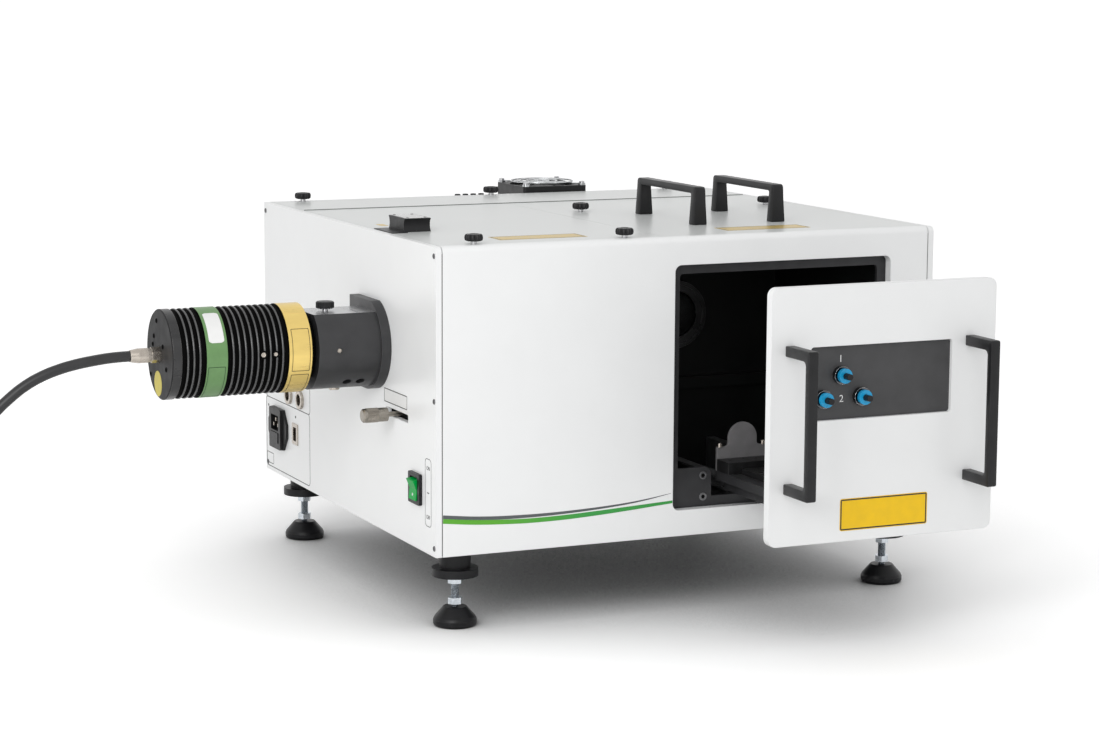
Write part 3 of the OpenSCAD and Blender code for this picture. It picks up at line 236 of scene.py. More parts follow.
# a lighter copy of the lamp head's black for its fins' crowns: a painted highlight
crown_highlight = material("crown_highlight", (0.095, 0.095, 0.096), 0.28, 0.6, 0.12, 10, 0.01, 0.3,
                     (0.3, 1, 1), edge=0.4, edge_wear_and_highlight_colour=(0.35, 0.34, 0.33), edge_wear_and_highlight=0.5, shine=0.5)
lamp_end = material("lamp_end", (0.019, 0.019, 0.02), 0.5, vary=0.15, patch=12, grain=0.01,
                    grain_size=0.3, edge=0.3, edge_wear_and_highlight_colour=(0.25, 0.24, 0.23), edge_wear_and_highlight=0.5, shine=0.12)
# near-black with little shine: painted shade on the floor between the fins, in the counterbores
# and in the screws' sockets; the lamp end's screw heads are made of it too
shade_black = material("shade_black", (0.002, 0.002, 0.002), 0.7, vary=0.2, patch=10, shine=0.05)
mount_black = material("mount_black", (0.038, 0.038, 0.04), 0.42, 0.35, 0.12, 18, 0.014, 0.3,
                       edge=0.4, edge_wear_and_highlight_colour=(0.25, 0.25, 0.26), edge_wear_and_highlight=0.5)
milled = material("milled", (0.55, 0.55, 0.56), 0.3, 1.0, 0.1, 6, 0.02, 0.2, (1, 0.08, 1))
zinc = material("zinc", (0.62, 0.66, 0.7), 0.27, 1.0, 0.15, 5, 0.02, 0.4)
stud = material("stud", (0.6, 0.66, 0.72), 0.25, 1.0, 0.12, 5, 0.01, 0.4,
                relief=thread(0.00125, 0.5))
slide_steel = material("slide_steel", (0.1, 0.102, 0.105), 0.6, 0.4, 0.15, 8, 0.01, 0.5)
steel = material("steel", (0.5, 0.5, 0.51), 0.25, 1.0, 0.1, 5, 0.02, 0.4)
nickel = material("nickel", (0.47, 0.425, 0.375), 0.26, 1.0, 0.1, 6, 0.008, 0.4, edge=0.4,
                  edge_wear_and_highlight_colour=(0.85, 0.8, 0.74), edge_wear_and_highlight=0.35)
# the dark chrome's near-white edges are a painted glint
dark_chrome = material("dark_chrome", (0.1, 0.1, 0.105), 0.12, 1.0, 0.2, 3, edge=0.5,
                       edge_wear_and_highlight_colour=(0.9, 0.9, 0.9), edge_wear_and_highlight=1.0)
wire = material("wire", (0.5, 0.51, 0.52), 0.15, 1.0, 0.3, 4, 0.01, 0.5)
blue = material("blue", (0.008, 0.36, 0.68), 0.3, vary=0.1, patch=4, grain=0.01, edge=0.3)
rubber = material("rubber", (0.006, 0.006, 0.007), 0.38, vary=0.25, patch=10, grain=0.015,
                  grain_size=0.5, edge=0.6, edge_wear_and_highlight_colour=(0.06, 0.06, 0.06), edge_wear_and_highlight=0.4, shine=0.25)
jacket = material("jacket", (0.014, 0.014, 0.015), 0.42, vary=0.2, patch=20, grain=0.02,
                  grain_size=0.5, edge=0.1)
green = material("green", (0.0, 0.36, 0.06), 0.35, vary=0.12, patch=8, grain=0.01, edge=0.5,
                 edge_wear_and_highlight_colour=(0.1, 0.6, 0.15), edge_wear_and_highlight=0.5, shine=0.15)
dot_white = material("dot_white", (0.8, 0.82, 0.8), 0.4)
green_band = material("green_band", (0.135, 0.275, 0.1), 0.4, vary=0.06, patch=10, edge=0.2)
gold_band = material("gold_band", (0.78, 0.58, 0.19), 0.3, 0.7, 0.06, 8, 0.012, 0.3, (0.2, 1, 1),
                     edge=0.2)
gold_foil = material("gold_foil", (0.62, 0.45, 0.14), 0.36, 0.35, 0.1, 8, 0.02, 0.4)
yellow = material("yellow", (0.93, 0.58, 0.002), 0.5, vary=0.04, patch=12, grain=0.01)
ink = material("ink", (0.016, 0.016, 0.017), 0.5, vary=0.2, patch=6)
grey_ink = material("grey_ink", (0.09, 0.1, 0.105), 0.45, vary=0.05, patch=30)


def along_x(x0, x1, far):
    """Turns a finish's colour into far between two places along X, in millimetres."""
    def tint(t, tone, mix, ramp, where):
        split = t.nodes.new("ShaderNodeSeparateXYZ")
        t.links.new(where, split.inputs[0])
        return mix(ramp(split.outputs[0], at(x0, 0, 0).x, at(x1, 0, 0).x, 0.0, 1.0), tone, far)
    return tint


green_ink = material("green_ink", (0.1, 0.4, 0.022), 0.42, vary=0.03, patch=30,
                     tint=along_x(60, 160, (0.035, 0.33, 0.055)))
brown_ink = material("brown_ink", (0.1, 0.065, 0.02), 0.5, vary=0.1, patch=6)
dark_green_ink = material("dark_green_ink", (0.02, 0.07, 0.02), 0.5, vary=0.1, patch=6)
steel_dark = material("steel_dark", (0.16, 0.16, 0.165), 0.32, 0.9, 0.15, 4, 0.015, 0.3)
brushed = material("brushed", (0.5, 0.5, 0.5), 0.28, 1.0, 0.06, 4, 0.02, 0.25, (1, 0.05, 1))
paper = material("paper", (0.84, 0.84, 0.83), 0.45, vary=0.02, patch=10)
glass = material("glass", (0.012, 0.013, 0.013), 0.02, vary=0.02, spread=0.0, coat=1.0, shine=0.8)
# dark strips in the seams: painted shade of their gaps
seam_shade = material("seam_shade", (0.03, 0.032, 0.031), 0.6, vary=0.15, patch=20, shine=0.2)
grey_seam_shade = material("grey_seam_shade", (0.16, 0.175, 0.165), 0.6, vary=0.15, patch=20, shine=0.2)
olive = material("olive", (0.6, 0.5, 0.06), 0.45, vary=0.08, patch=5)
sheet_steel = material("sheet_steel", (0.5, 0.51, 0.52), 0.35, 1.0, 0.15, 10, 0.03, 0.8)


# ------------------------------------------------- finish of the CAD nodes
def dress(nodes, *mats, rule=None):
    """Gives CAD nodes their finish; rule(centre in mm, normal) picks one of several per face."""
    for name in nodes.split():
        o = NODES[name]
        o.data.materials.clear()
        for m in mats:
            o.data.materials.append(m)
        for p in o.data.polygons:
            p.material_index = rule(place(p.center), p.normal) if rule else 0


dress("left_plate right_plate front_panel rear_panel drawer_door", enamel)
dress("optics_lid chamber_lid rear_cover", shaded_lid_enamel)
dress("base_plate lid_rails", aluminium)
dress("lid_handles door_handles", black_bar)
THUMBSCREWS = ("optics_screw_1 optics_screw_2 chamber_screw_1 chamber_screw_2 rear_screw_1 "
               "rear_screw_2 rear_screw_3")
dress(THUMBSCREWS, black_plastic, steel, rule=lambda c, n: int(c.z < LID_TOP + 3.4))
dress("chamber_box attenuator beam_tube", matt_black)
dress("lens_tube", tube_black)
dress("chamber_frame drawer_tray", anodised)
dress("breadboard cuvette_holder", board_black)
dress("port_panel", grey_anodised)
dress("baffle_plate", baffle_grey)
dress("slide_channels slide_members", slide_steel)
dress("release_ring_1 release_ring_2 release_ring_3", blue)
PORTS, BORE_R = [(331, 186), (311.6, 164.2), (353, 164.6)], 3.6
dress("port_fittings", dark_chrome, black_plastic,
      rule=lambda c, n: int(min(hypot(c.x - x, c.z - z) for x, z in PORTS) < BORE_R))
MOUNT_TOP = LAMP_Z + 34.5
dress("lamp_mount", mount_black, milled,
      rule=lambda c, n: int(n.z > 0.99 and c.z > MOUNT_TOP - 1.5 and c.x < -10))
dress("mount_screw", black_plastic, steel, rule=lambda c, n: int(c.z < MOUNT_TOP + 3.4))


BAND_1, BAND_2 = (-189, -168), (-105.4, -82)    # where the lamp head's two bands begin and end
LAMP_MATS = (lamp_black, green_band, gold_band, shade_black, lamp_end, crown_highlight)
IS_FIN, IS_BAND_1, IS_BAND_2, IS_GROOVE, IS_END, IS_CROWN = range(6)    # their places in it


def lamp_rule(c, n):
    """Which of the lamp head's finishes a face has."""
    if c.x < LAMP_END + 1.5:
        return IS_END
    # the floor between the fins gets the near-black of painted shade
    if hypot(c.y - LAMP_Y, c.z - LAMP_Z) < LAMP_R - 1:
        return IS_GROOVE
    if BAND_1[0] - 0.1 < c.x < BAND_1[1] + 0.1:
        return IS_BAND_1
    return IS_BAND_2 if c.x > BAND_2[0] - 0.1 else IS_FIN


dress("lamp_body", *LAMP_MATS[:IS_CROWN], rule=lamp_rule)
dress("cable_gland", nickel)
INLET_Y = 463.5
dress("power_inlet", black_plastic, nickel,
      rule=lambda c, n: int(0.01 < c.x < 12 and abs(c.y - INLET_Y) < 8.1 and 55 < c.z < 65))
dress("fuse_drawer switch_bezel", black_plastic)
dress("rocker", green)
dress("data_sockets", nickel)
dress("filter_holder", black_plastic)
dress("monochromator detector_housing", matt_black)
dress("power_supply", sheet_steel)
dress("foot_hubs", rubber)
dress("fan_frame fan_rotor", black_plastic)
dress("fan_guard", wire)
FOOT_X, FOOT_Y, FOOT_IN = 484, 444, 33    # the feet's distances apart, and from the corner
FOOT_H = 19                               # height of a foot's rubber, which stands on the table


def foot_rule(c, n):
    """Rubber pad, threaded stud or zinc nut."""
    r = hypot(c.x % FOOT_X - FOOT_IN, c.y % FOOT_Y - FOOT_IN)
    if c.z < FOOT_H + 0.01 - CORNER[2] and r > 3.3:
        return 0
    return 1 if r < 4.2 else 2


dress("foot_1 foot_2 foot_3 foot_4", rubber, stud, zinc, rule=foot_rule)
LEVER_Y, LEVER_Z = 108, 124    # axis of the lever's knob
knob_finish = material("knurled_nickel", (0.3, 0.272, 0.235), 0.36, 1.0, 0.06, 4, 0.008, 0.3,
                       relief=knurl(0, (at(0, LEVER_Y, 0).y, at(0, 0, LEVER_Z).z), 0.0022, 0.55,
                                    26))
stem = material("stem", (0.3, 0.275, 0.24), 0.32, 1.0, 0.06, 4, 0.008, 0.3)
dress("lever", stem, knob_finish,
      rule=lambda c, n: int(-31.1 < c.x < -18.9 and hypot(c.y - LEVER_Y, c.z - LEVER_Z) > 6))


# ------------------------------------------------------------- mesh tools
def finish_mesh(name, bm, mats, body, bevel=0.0, smooth=False):
    """Makes a piece of a mesh, in one finish or several, and lets it ride on its body."""
    bmesh.ops.recalc_face_normals(bm, faces=bm.faces)
    me = bpy.data.meshes.new(name)
    bm.to_mesh(me)
    bm.free()
    for m in mats if isinstance(mats, (list, tuple)) else [mats]:
        me.materials.append(m)
    o = bpy.data.objects.new(name, me)
    scene.collection.objects.link(o)
    if bevel:
        b = o.modifiers.new("bevel", "BEVEL")
        b.width, b.segments, b.limit_method = bevel / 1000, 2, "ANGLE"
    if smooth:
        me.shade_smooth()
        o.modifiers.new("split", "EDGE_SPLIT").split_angle = radians(35)
    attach(o, body)
    return o


def skin(bm, rings):
    """Joins closed rows of points one after another, and closes the first and the last."""
    for a, b in zip(rings, rings[1:]):
        for i in range(len(a)):
            j = (i + 1) % len(a)
            bm.faces.new((a[i], a[j], b[j], b[i]))
    bm.faces.new(rings[0])
    bm.faces.new(rings[-1])


def rounded(w, h, r, n=6):
    """Outline of a rounded rectangle about the origin."""
    pts = []
    for sx, sy, a0 in ((1, 1, 0), (-1, 1, 90), (-1, -1, 180), (1, -1, 270)):
        for k in range(n + 1):
            a = radians(a0 + 90 * k / n)
            pts.append((sx * (w / 2 - r) + r * cos(a), sy * (h / 2 - r) + r * sin(a)))
    return pts


def slab(name, outline, centre, u, v, depth, mat, body, hole=None, bevel=0.0):
    """A flat piece: outline in the plane of u and v, depth towards u x v, and a hole if asked."""
    w = u.cross(v)
    bm = bmesh.new()
    loops = []
    for pts in [outline] + ([hole] if hole else []):
        for d in (0, depth):
            loops.append([bm.verts.new(at(*centre) + (u * a + v * b + w * d) / 1000)
                          for a, b in pts])
    if hole:
        lo, hi, inner_lo, inner_hi = loops
        pairs = [(lo, hi), (inner_lo, inner_hi), (lo, inner_lo), (hi, inner_hi)]
    else:
        lo, hi = loops
        pairs = [(lo, hi)]
        bm.faces.new(lo)
        bm.faces.new(hi)
    for a, b in pairs:
        for i in range(len(a)):
            j = (i + 1) % len(a)
            bm.faces.new((a[i], a[j], b[j], b[i]))
    return finish_mesh(name, bm, mat, body, bevel)


def lathe(name, profile, centre, axis, mat, body, n=32, hexed=()):
    """Turns (radius, distance along axis) about an axis through centre. The profile points listed
    in hexed make a hexagon instead of a circle, for a key's socket."""
    axis = axis.normalized()
    u = axis.orthogonal().normalized()
    v = axis.cross(u)
    bm = bmesh.new()
    rings = []
    flat = 2 * pi / 6
    for k, (r, d) in enumerate(profile):
        ring = []
        for i in range(n):
            a = 2 * pi * i / n
            q = r / cos((a % flat) - flat / 2) if k in hexed else r
            ring.append(bm.verts.new(
                at(*centre) + (u * q * cos(a) + v * q * sin(a) + axis * d) / 1000))
        rings.append(ring)
    skin(bm, rings)
    return finish_mesh(name, bm, mat, body, smooth=True)


def socket_screw(name, centre, axis, r, body, mat=None, proud=None, key=0.52):
    """A cap screw's head, as high as proud says, with a hexagon socket key times as wide."""
    h = proud or r * 0.55
    k = r * key
    return lathe(name, [(r, -0.3), (r, h - r * 0.15), (r * 0.88, h), (k * 1.16, h), (k, h - 0.15),
                        (k, h * 0.2), (k * 0.5, h * 0.15)],
                 centre, axis, mat or steel, body, n=24, hexed=(4, 5))


# ------------------------------------------------------------- lamp head
# a fin's outline: distance from its middle, and height over the floor between the fins
CROWN = [(-1.9, 0), (-1.45, 1.5), (-1.0, 2.4), (-0.5, 2.85), (0, 3)]
CROWN += [(-dx, up) for dx, up in reversed(CROWN[:-1])]
END_BAND = -213.5    # where the plain band at the outer end stops


def fins(start, pitch, count):
    """Profile points of a row of fins, the first one a pitch past start."""
    return [(LAMP_VALLEY + up, start + i * pitch + dx)
            for i in range(1, count + 1) for dx, up in CROWN]


def lamp_shell():
    """The turned lamp head with crowned fins, two bands, its neck and its spigot."""
    r, floor_r = LAMP_R, LAMP_VALLEY
    profile = [(r - 1, LAMP_END), (r, LAMP_END + 1), (r, END_BAND), (floor_r, END_BAND)]
    profile += fins(END_BAND, 6.125, 3)
    profile += [(floor_r, BAND_1[0]), (r, BAND_1[0]), (r, BAND_1[1]), (floor_r, BAND_1[1])]
    profile += fins(BAND_1[1], 6.26, 9)
    profile += [(floor_r, BAND_2[0]), (r, BAND_2[0]), (r, BAND_2[1]), (32, BAND_2[1]), (32, -74),
                (26, -74), (26, -44.3)]
    o = lathe("lamp_shell", profile, (0, LAMP_Y, LAMP_Z), X, LAMP_MATS, "housing", n=128)
    for p in o.data.polygons:
        c = place(p.center)
        k = lamp_rule(c, p.normal)
        # the fins' crowns get the lighter copy, a painted highlight
        p.material_index = IS_CROWN if k == IS_FIN and c.x > END_BAND + 0.5 else k
    return o


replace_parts(lamp_shell(), "lamp_body")


# ------------------------------------------------------------------- cord
# The lead's middle line in the model's own millimetres, as in the source: out of the lamp's gland,
# down to the table and into the coil
ROUTE = [(-270, 130, 264), (-288, 130, 264), (-305, 130, 263.4), (-322, 130, 261.6),
         (-340, 130, 258.8), (-356, 130, 255), (-372, 130, 249.5), (-388, 130, 241.5),
         (-404, 130, 230), (-420, 130, 215.5), (-435, 130, 198), (-449, 130, 177),
         (-461, 130, 153), (-472, 130, 127), (-482, 130, 101), (-493, 130, 76),
         (-506, 130, 53), (-523, 130, 33), (-545, 130, 17), (-572, 130, 8), (-605, 130, 5.45)]
CORD_D = 10.5
COIL = (-642.22, 64.75)                                # the coil's centre
INNER, OUTER, LOW, HIGH = 54.75, 65.25, 5.35, 15.85    # its two rings and its two layers
TURN_IN, CLIMB, TURN_OUT = (405, 445), (745, 785), (1085, 1125)    # in degrees round the coil


def ease(a, lo, hi):
    """0 up to lo and 1 from hi on, with a smooth rise between them."""
    t = min(1, max(0, (a - lo) / (hi - lo)))
    return t * t * (3 - 2 * t)


def coil_point(a):
    """A point of the coil: it turns in, climbs onto its first layer, and turns out again."""
    r = OUTER - (OUTER - INNER) * (ease(a, *TURN_IN) - ease(a, *TURN_OUT))
    z = LOW + (HIGH - LOW) * ease(a, *CLIMB)
    return (COIL[0] + r * cos(radians(a)), COIL[1] + r * sin(radians(a)), z)


cord_points = list(ROUTE) + [coil_point(a) for a in range(90, 1261, 15)]
PLUG = (COIL[0] - OUTER, 26.17, 9.55)    # the connector on the lead's end
for back in (8, 16, 22, 28, 33, 38.6, 44):
    # straight off the coil and down to the connector's height
    cord_points.append((PLUG[0], COIL[1] - back, HIGH + (PLUG[2] - HIGH) * ease(back, 18, 39)))
line = bpy.data.curves.new("lamp_lead", "CURVE")
line.dimensions = "3D"
line.bevel_depth = CORD_D / 2000
line.bevel_resolution = 5
line.resolution_u = 4
spline = line.splines.new("BEZIER")
spline.bezier_points.add(len(cord_points) - 1)
for p, c in zip(spline.bezier_points, cord_points):
    p.co = Vector(c) / 1000
    p.handle_left_type = p.handle_right_type = "AUTO"
line.materials.append(jacket)
lead = bpy.data.objects.new("lamp_lead", line)
scene.collection.objects.link(lead)
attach(lead, "housing")
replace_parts(lead, "lamp_cable", "cable_coil")
dress("cable_plug", nickel, rubber, rule=lambda c, n: int(c.y > PLUG[1] - CORNER[1] - 14.05))


# -------------------------------------------------- printed lines, labels
LEFT, FRONT, TOP = (-Y, Z), (X, Z), (X, Y)    # axes of a drawing on each of these sides
PRINT = 0.12                                  # how proud printing and labels stand
DOOR_FACE, PORT_FACE = -195, -191             # the drawer's door and its port panel, along Y


def ribbon(name, side_a, side_b, lift, mat, body):
    """A thin strip between two rows of points in mm, lifted along a vector."""
    bm = bmesh.new()
    layers = [[[bm.verts.new(at(*p) + lift * k / 1000) for p in row] for row in (side_a, side_b)]
              for k in (0, 1)]
    (a0, b0), (a1, b1) = layers
    for i in range(len(a0) - 1):
        for q in ((a0[i], a0[i + 1], b0[i + 1], b0[i]), (a1[i], a1[i + 1], b1[i + 1], b1[i]),
                  (a0[i], a0[i + 1], a1[i + 1], a1[i]), (b0[i], b0[i + 1], b1[i + 1], b1[i])):
            bm.faces.new(q)
    for i in (0, -1):
        bm.faces.new((a0[i], b0[i], b1[i], a1[i]))
    return finish_mesh(name, bm, mat, body)


def curve_through(points, n=6):
    """Points along a smooth curve through the given ones."""
    p = [Vector(q) for q in points]
    p = [2 * p[0] - p[1]] + p + [2 * p[-1] - p[-2]]
    out = []
    for i in range(1, len(p) - 2):
        for k in range(n):
            t = k / n
            out.append(0.5 * (2 * p[i] + (p[i + 1] - p[i - 1]) * t
                              + (2 * p[i - 1] - 5 * p[i] + 4 * p[i + 1] - p[i + 2]) * t * t
                              + (3 * p[i] - p[i - 1] - 3 * p[i + 1] + p[i + 2]) * t ** 3))
    return out + [p[-2]]


def stripe(name, line, mat):
    """A curved stripe across the front, through places given as x, its top and its bottom."""
    top = curve_through([(x, 0, t) for x, t, b in line])
    low = curve_through([(x, 0, b) for x, t, b in line])
    ribbon(name, top, low, -Y * PRINT, mat, "housing")


stripe("grey_stripe", [(7.05, 41.4, 37.85), (41, 37.6, 34.2), (75, 35.7, 32.3), (118, 35.1, 32.2),
                       (162, 36.2, 33.8), (198, 38.1, 36.3), (224, 40.6, 39.3),
                       (251.5, 44.3, 44.0)], grey_ink)
stripe("green_stripe", [(7.05, 37.8, 33.2), (41, 34.15, 29.5), (75, 32.0, 27.4), (101, 31.2, 26.6),
                        (136, 31.6, 26.9), (171, 32.9, 28.4), (207, 34.6, 30.6),
                        (236, 36.0, 32.8), (253.4, 36.8, 34.1)], green_ink)


def label(name, centre, axes, w, h, r, mat, body, border=None, inset=1.4, line=0.9):
    """A blank stuck label, with a printed border if asked."""
    slab(name, rounded(w, h, r), centre, *axes, PRINT, mat, body)
    if border:
        frame_line(name + "_border", centre, axes, w - 2 * inset, h - 2 * inset,
                   max(0.4, r - inset), line, border, body, PRINT + 0.05)


def frame_line(name, centre, axes, w, h, r, line, mat, body, thick=0.1):
    """A printed rectangle with round corners, w by h outside, its line lying within that."""
    slab(name, rounded(w, h, r), centre, *axes, thick, mat, body,
         hole=rounded(w - 2 * line, h - 2 * line, max(0.15, r - line)))


SIZE_OF_CAPITALS = 1.38    # a font's size over the height of its capitals


def words(name, text, centre, axes, height, mat, body):
    """Printed figures or a switch's marks, height giving that of the capitals."""
    c = bpy.data.curves.new(name, "FONT")
    c.body, c.size, c.extrude = text, height * SIZE_OF_CAPITALS / 1000, PRINT / 2000
    c.align_x, c.align_y = "CENTER", "CENTER"
    c.materials.append(mat)
    u, v = axes
    w = u.cross(v)
    o = bpy.data.objects.new(name, c)
    facing = Matrix((u, v, w)).transposed().to_4x4()
    o.matrix_world = Matrix.Translation(at(*centre) + w * PRINT / 2000) @ facing
    scene.collection.objects.link(o)
    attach(o, body)


label("door_label", (379, DOOR_FACE, 52.5), FRONT, 96, 31, 2.2, yellow, "drawer", ink, 0.7, 1.3)
label("optics_lid_label", (129, 52.5, LID_TOP), TOP, 94, 31, 1.5, gold_foil, "optics_lid", ink)
label("chamber_lid_label", (379, 52.5, LID_TOP), TOP, 96, 31, 1.5, gold_foil, "chamber_lid", ink)
label("lid_strip_label", (29, 218, LID_TOP), TOP, 8, 18, 0.8, gold_foil, "optics_lid")
frame_line("inlet_outline", (0, 435.5, 43.9), LEFT, 146, 78.8, 5, 0.8, ink, "housing", PRINT)
frame_line("socket_outline", (0, 434.5, 117), LEFT, 146, 69, 5, 0.8, ink, "housing")
frame_line("fuse_outline", (0, 496, 14.2), LEFT, 23, 12.5, 2, 0.7, ink, "housing")
label("lever_label", (0, 106.5, 139.3), LEFT, 63, 14.5, 1.6, paper, "housing", ink, 0.3, 0.9)
SWITCH_Y = 20.3
frame_line("switch_outline", (0, SWITCH_Y, 60.2), LEFT, 15.8, 66.7, 4.5, 0.6, ink, "housing")
words("switch_on", "ON", (0, SWITCH_Y, 84), LEFT, 4, ink, "housing")
words("switch_off", "OFF", (0, SWITCH_Y, 36), LEFT, 4, ink, "housing")
slab("switch_tick", rounded(5, 1, 0.3), (0, SWITCH_Y, 60), *LEFT, 0.1, ink, "housing")
words("port_number_1", "1", (331, PORT_FACE, 201), FRONT, 7, paper, "drawer")
words("port_number_2", "2", (332.5, PORT_FACE, 163), FRONT, 7, paper, "drawer")
for tag, y in (("rear_data", 409), ("rear_inlet", 500.5)):
    slab(tag + "_dot", rounded(3, 2.6, 0.6), (0, y, 73.5), *LEFT, 0.1, ink, "housing")


def on_lamp(name, x0, x1, a0, a1, mat, corner, line=0.0):
    """A label round the lamp head, from angle a0 up to a1 in degrees where 0 faces the front, or
    only a line along its edge."""
    middle, arc, w = radians((a0 + a1) / 2), radians(a1 - a0) * LAMP_R, x1 - x0
    bm = bmesh.new()

    def wrapped(x, along, lift):
        a, r = middle + along / LAMP_R, LAMP_R + lift
        return bm.verts.new(at((x0 + x1) / 2 + x, LAMP_Y - r * cos(a), LAMP_Z + r * sin(a)))

    if line:
        # the outline's straight sides get points between their ends, so that they follow the round
        outline, outer = rounded(w, arc, corner, 4), []
        for p, q in zip(outline, outline[1:] + outline[:1]):
            n = max(1, int(abs(q[1] - p[1]) / 1.5))
            outer += [(p[0] + (q[0] - p[0]) * k / n, p[1] + (q[1] - p[1]) * k / n)
                      for k in range(n)]
        inner = [(p[0] * (1 - 2 * line / w), p[1] * (1 - 2 * line / arc)) for p in outer]
        a, b = ([wrapped(*p, 0.18) for p in row] for row in (outer, inner))
        for i in range(len(a)):
            j = (i + 1) % len(a)
            bm.faces.new((a[i], a[j], b[j], b[i]))
    else:
        n = max(4, int(arc / 1.2))
        rows = []
        for k in range(n + 1):
            along = -arc / 2 + arc * k / n
            over = abs(along) - (arc / 2 - corner)
            pull = corner - (corner ** 2 - over ** 2) ** 0.5 if over > 0 else 0
            rows.append([wrapped(x, along, 0.1) for x in (-w / 2 + pull, w / 2 - pull)])
        for (p, q), (r, t) in zip(rows, rows[1:]):
            bm.faces.new((p, r, t, q))
    o = finish_mesh(name, bm, mat, "housing")
    sheet = o.modifiers.new("thick", "SOLIDIFY")
    sheet.thickness, sheet.offset = 0.0001, 0


on_lamp("lamp_white_label", -186, -170.5, 19, 66, paper, 3.0)
on_lamp("lamp_green_frame", -187.5, -170, -68, -11.5, dark_green_ink, 0.8, 0.5)
on_lamp("lamp_gold_frame_1", -102.2, -84, -24, 32, brown_ink, 0.8, 0.5)
on_lamp("lamp_gold_frame_2", -102.2, -84, -76, -29, brown_ink, 0.8, 0.5)
slab("lamp_round_label",
     [(12.5 * cos(radians(a)), 12.5 * sin(radians(a))) for a in range(0, 360, 8)],
     (LAMP_END, 170, 158.5), *LEFT, 0.15, olive, "housing")


# ---------------------------------------------------------------- handles
def arch(name, shapes, body):
    """Handles swept through rows of four corners each, from one foot to the other."""
    bm = bmesh.new()
    for rows in shapes:
        skin(bm, [[bm.verts.new(at(*q)) for q in row] for row in rows])
    return finish_mesh(name, bm, black_bar, body, bevel=1.0, smooth=True)


SIDES = ((0, -1), (1, -1), (1, 1), (0, 1))    # a row's corners: which of the pair, which side
GRIP_Y, GRIP_H = 167, 39                      # a lid handle's middle and height,
GRIP_PITCH, GRIP_BAR = 125, 7                 # its legs' distance and its bar's thickness


def lid_grip(x):
    """A lid handle: flared legs that run round into a flat bar."""
    half, under = GRIP_PITCH / 2, GRIP_H - GRIP_BAR
    pairs = [((half + 6, 0), (half - 6, 0)), ((half + 5.2, 24), (half - 5, 24)),
             ((half + 5, GRIP_H - 4), (half - 4.9, under - 2.4))]
    for k in range(1, 6):
        a = radians(90 * k / 6)
        pairs.append(((half + 1 + 4 * cos(a), GRIP_H - 4 + 4 * sin(a)),
                      (half - 7.3 + 2.4 * cos(a), under - 2.4 + 2.4 * sin(a))))
    pairs.append(((half + 1, GRIP_H), (half - 7.3, under)))
    pairs += [tuple((-y, z) for y, z in pair) for pair in reversed(pairs)]
    return [[(x + side * (6 + 1.75 * max(0, 1 - pair[i][1] / under)), GRIP_Y + pair[i][0],
              LID_TOP + pair[i][1]) for i, side in SIDES] for pair in pairs]


def door_grip(x, z, out=45, reach=70, bar=7, leg=10):
    """A door handle: an upright flat bar on two square legs."""
    pairs = [((0, reach), (0, reach - leg)), ((out - 15, reach), (out - 15, reach - leg))]
    for k in range(7):
        a = radians(15 * k)
        pairs.append(((out - 2 + 2 * sin(a), reach - 2 + 2 * cos(a)),
                      (out - bar - 5 + 5 * sin(a), reach - leg - 5 + 5 * cos(a))))
    pairs += [tuple((d, -h) for d, h in pair) for pair in reversed(pairs)]
    return [[(x + side * 5, DOOR_FACE - pair[i][0], z + pair[i][1]) for i, side in SIDES]
            for pair in pairs]


grips = arch("lid_grips", [lid_grip(332), lid_grip(423)], "chamber_lid")
bar_lo, bar_hi = (place(q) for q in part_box("door_handles"))
bars = arch("door_bars", [door_grip(x, (bar_lo.z + bar_hi.z) / 2)
                          for x in (bar_lo.x + 5, bar_hi.x - 5)], "drawer")
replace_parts(bars, "door_handles")
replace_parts(grips, "lid_handles")


# ----------------------------------------------------------------- screws
# radius, height over the lid, and how deep the nine hollows round the head cut in
THUMB_PROFILE = ((2.9, -7.9, 0), (2.9, 2.6, 0), (7.0, 2.6, 0.4), (8.7, 3.5, 1.5), (9.15, 5.6, 1.9),
                 (8.9, 7.9, 1.7), (7.9, 9.2, 0.9), (4.2, 9.6, 0), (3.9, 9.2, 0))
LOBES, THUMB_POINTS = 9, 108


def middle_of(node):
    """X and Y of a node's middle."""
    lo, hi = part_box(node)
    return [((lo[i] + hi[i]) / 2) * 1000 - CORNER[i] for i in (0, 1)]


def thumb_head(node):
    """A captive thumbscrew: a lobed plastic head on its steel shank, in place of its node."""
    x, y = middle_of(node)
    bm = bmesh.new()
    rings = []
    for r, z, dip in THUMB_PROFILE:
        ring = []
        for i in range(THUMB_POINTS):
            a = 2 * pi * i / THUMB_POINTS
            q = r - dip * (0.5 - 0.5 * cos(LOBES * a)) ** 2
            ring.append(bm.verts.new(at(x + q * cos(a), y + q * sin(a), LID_TOP + z)))
        rings.append(ring)
    skin(bm, rings)
    o = finish_mesh(node + "_head", bm, (black_plastic, steel), node, smooth=True)
    for p in o.data.polygons:
        p.material_index = int(p.center.z < at(0, 0, LID_TOP + 2.5).z)
    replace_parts(o, node)


for node in THUMBSCREWS.split():
    thumb_head(node)
fan_x, fan_y = middle_of("fan_frame")
FAN_HOLE, FAN_TOP = 35.75, 308.7    # from the fan's middle to its screws; top of its frame
for i, (sx, sy) in enumerate(((-1, -1), (1, -1), (1, 1), (-1, 1))):
    socket_screw(f"fan_screw_{i + 1}", (fan_x + sx * FAN_HOLE, fan_y + sy * FAN_HOLE, FAN_TOP), Z,
                 3.2, "housing", steel, 2.4)
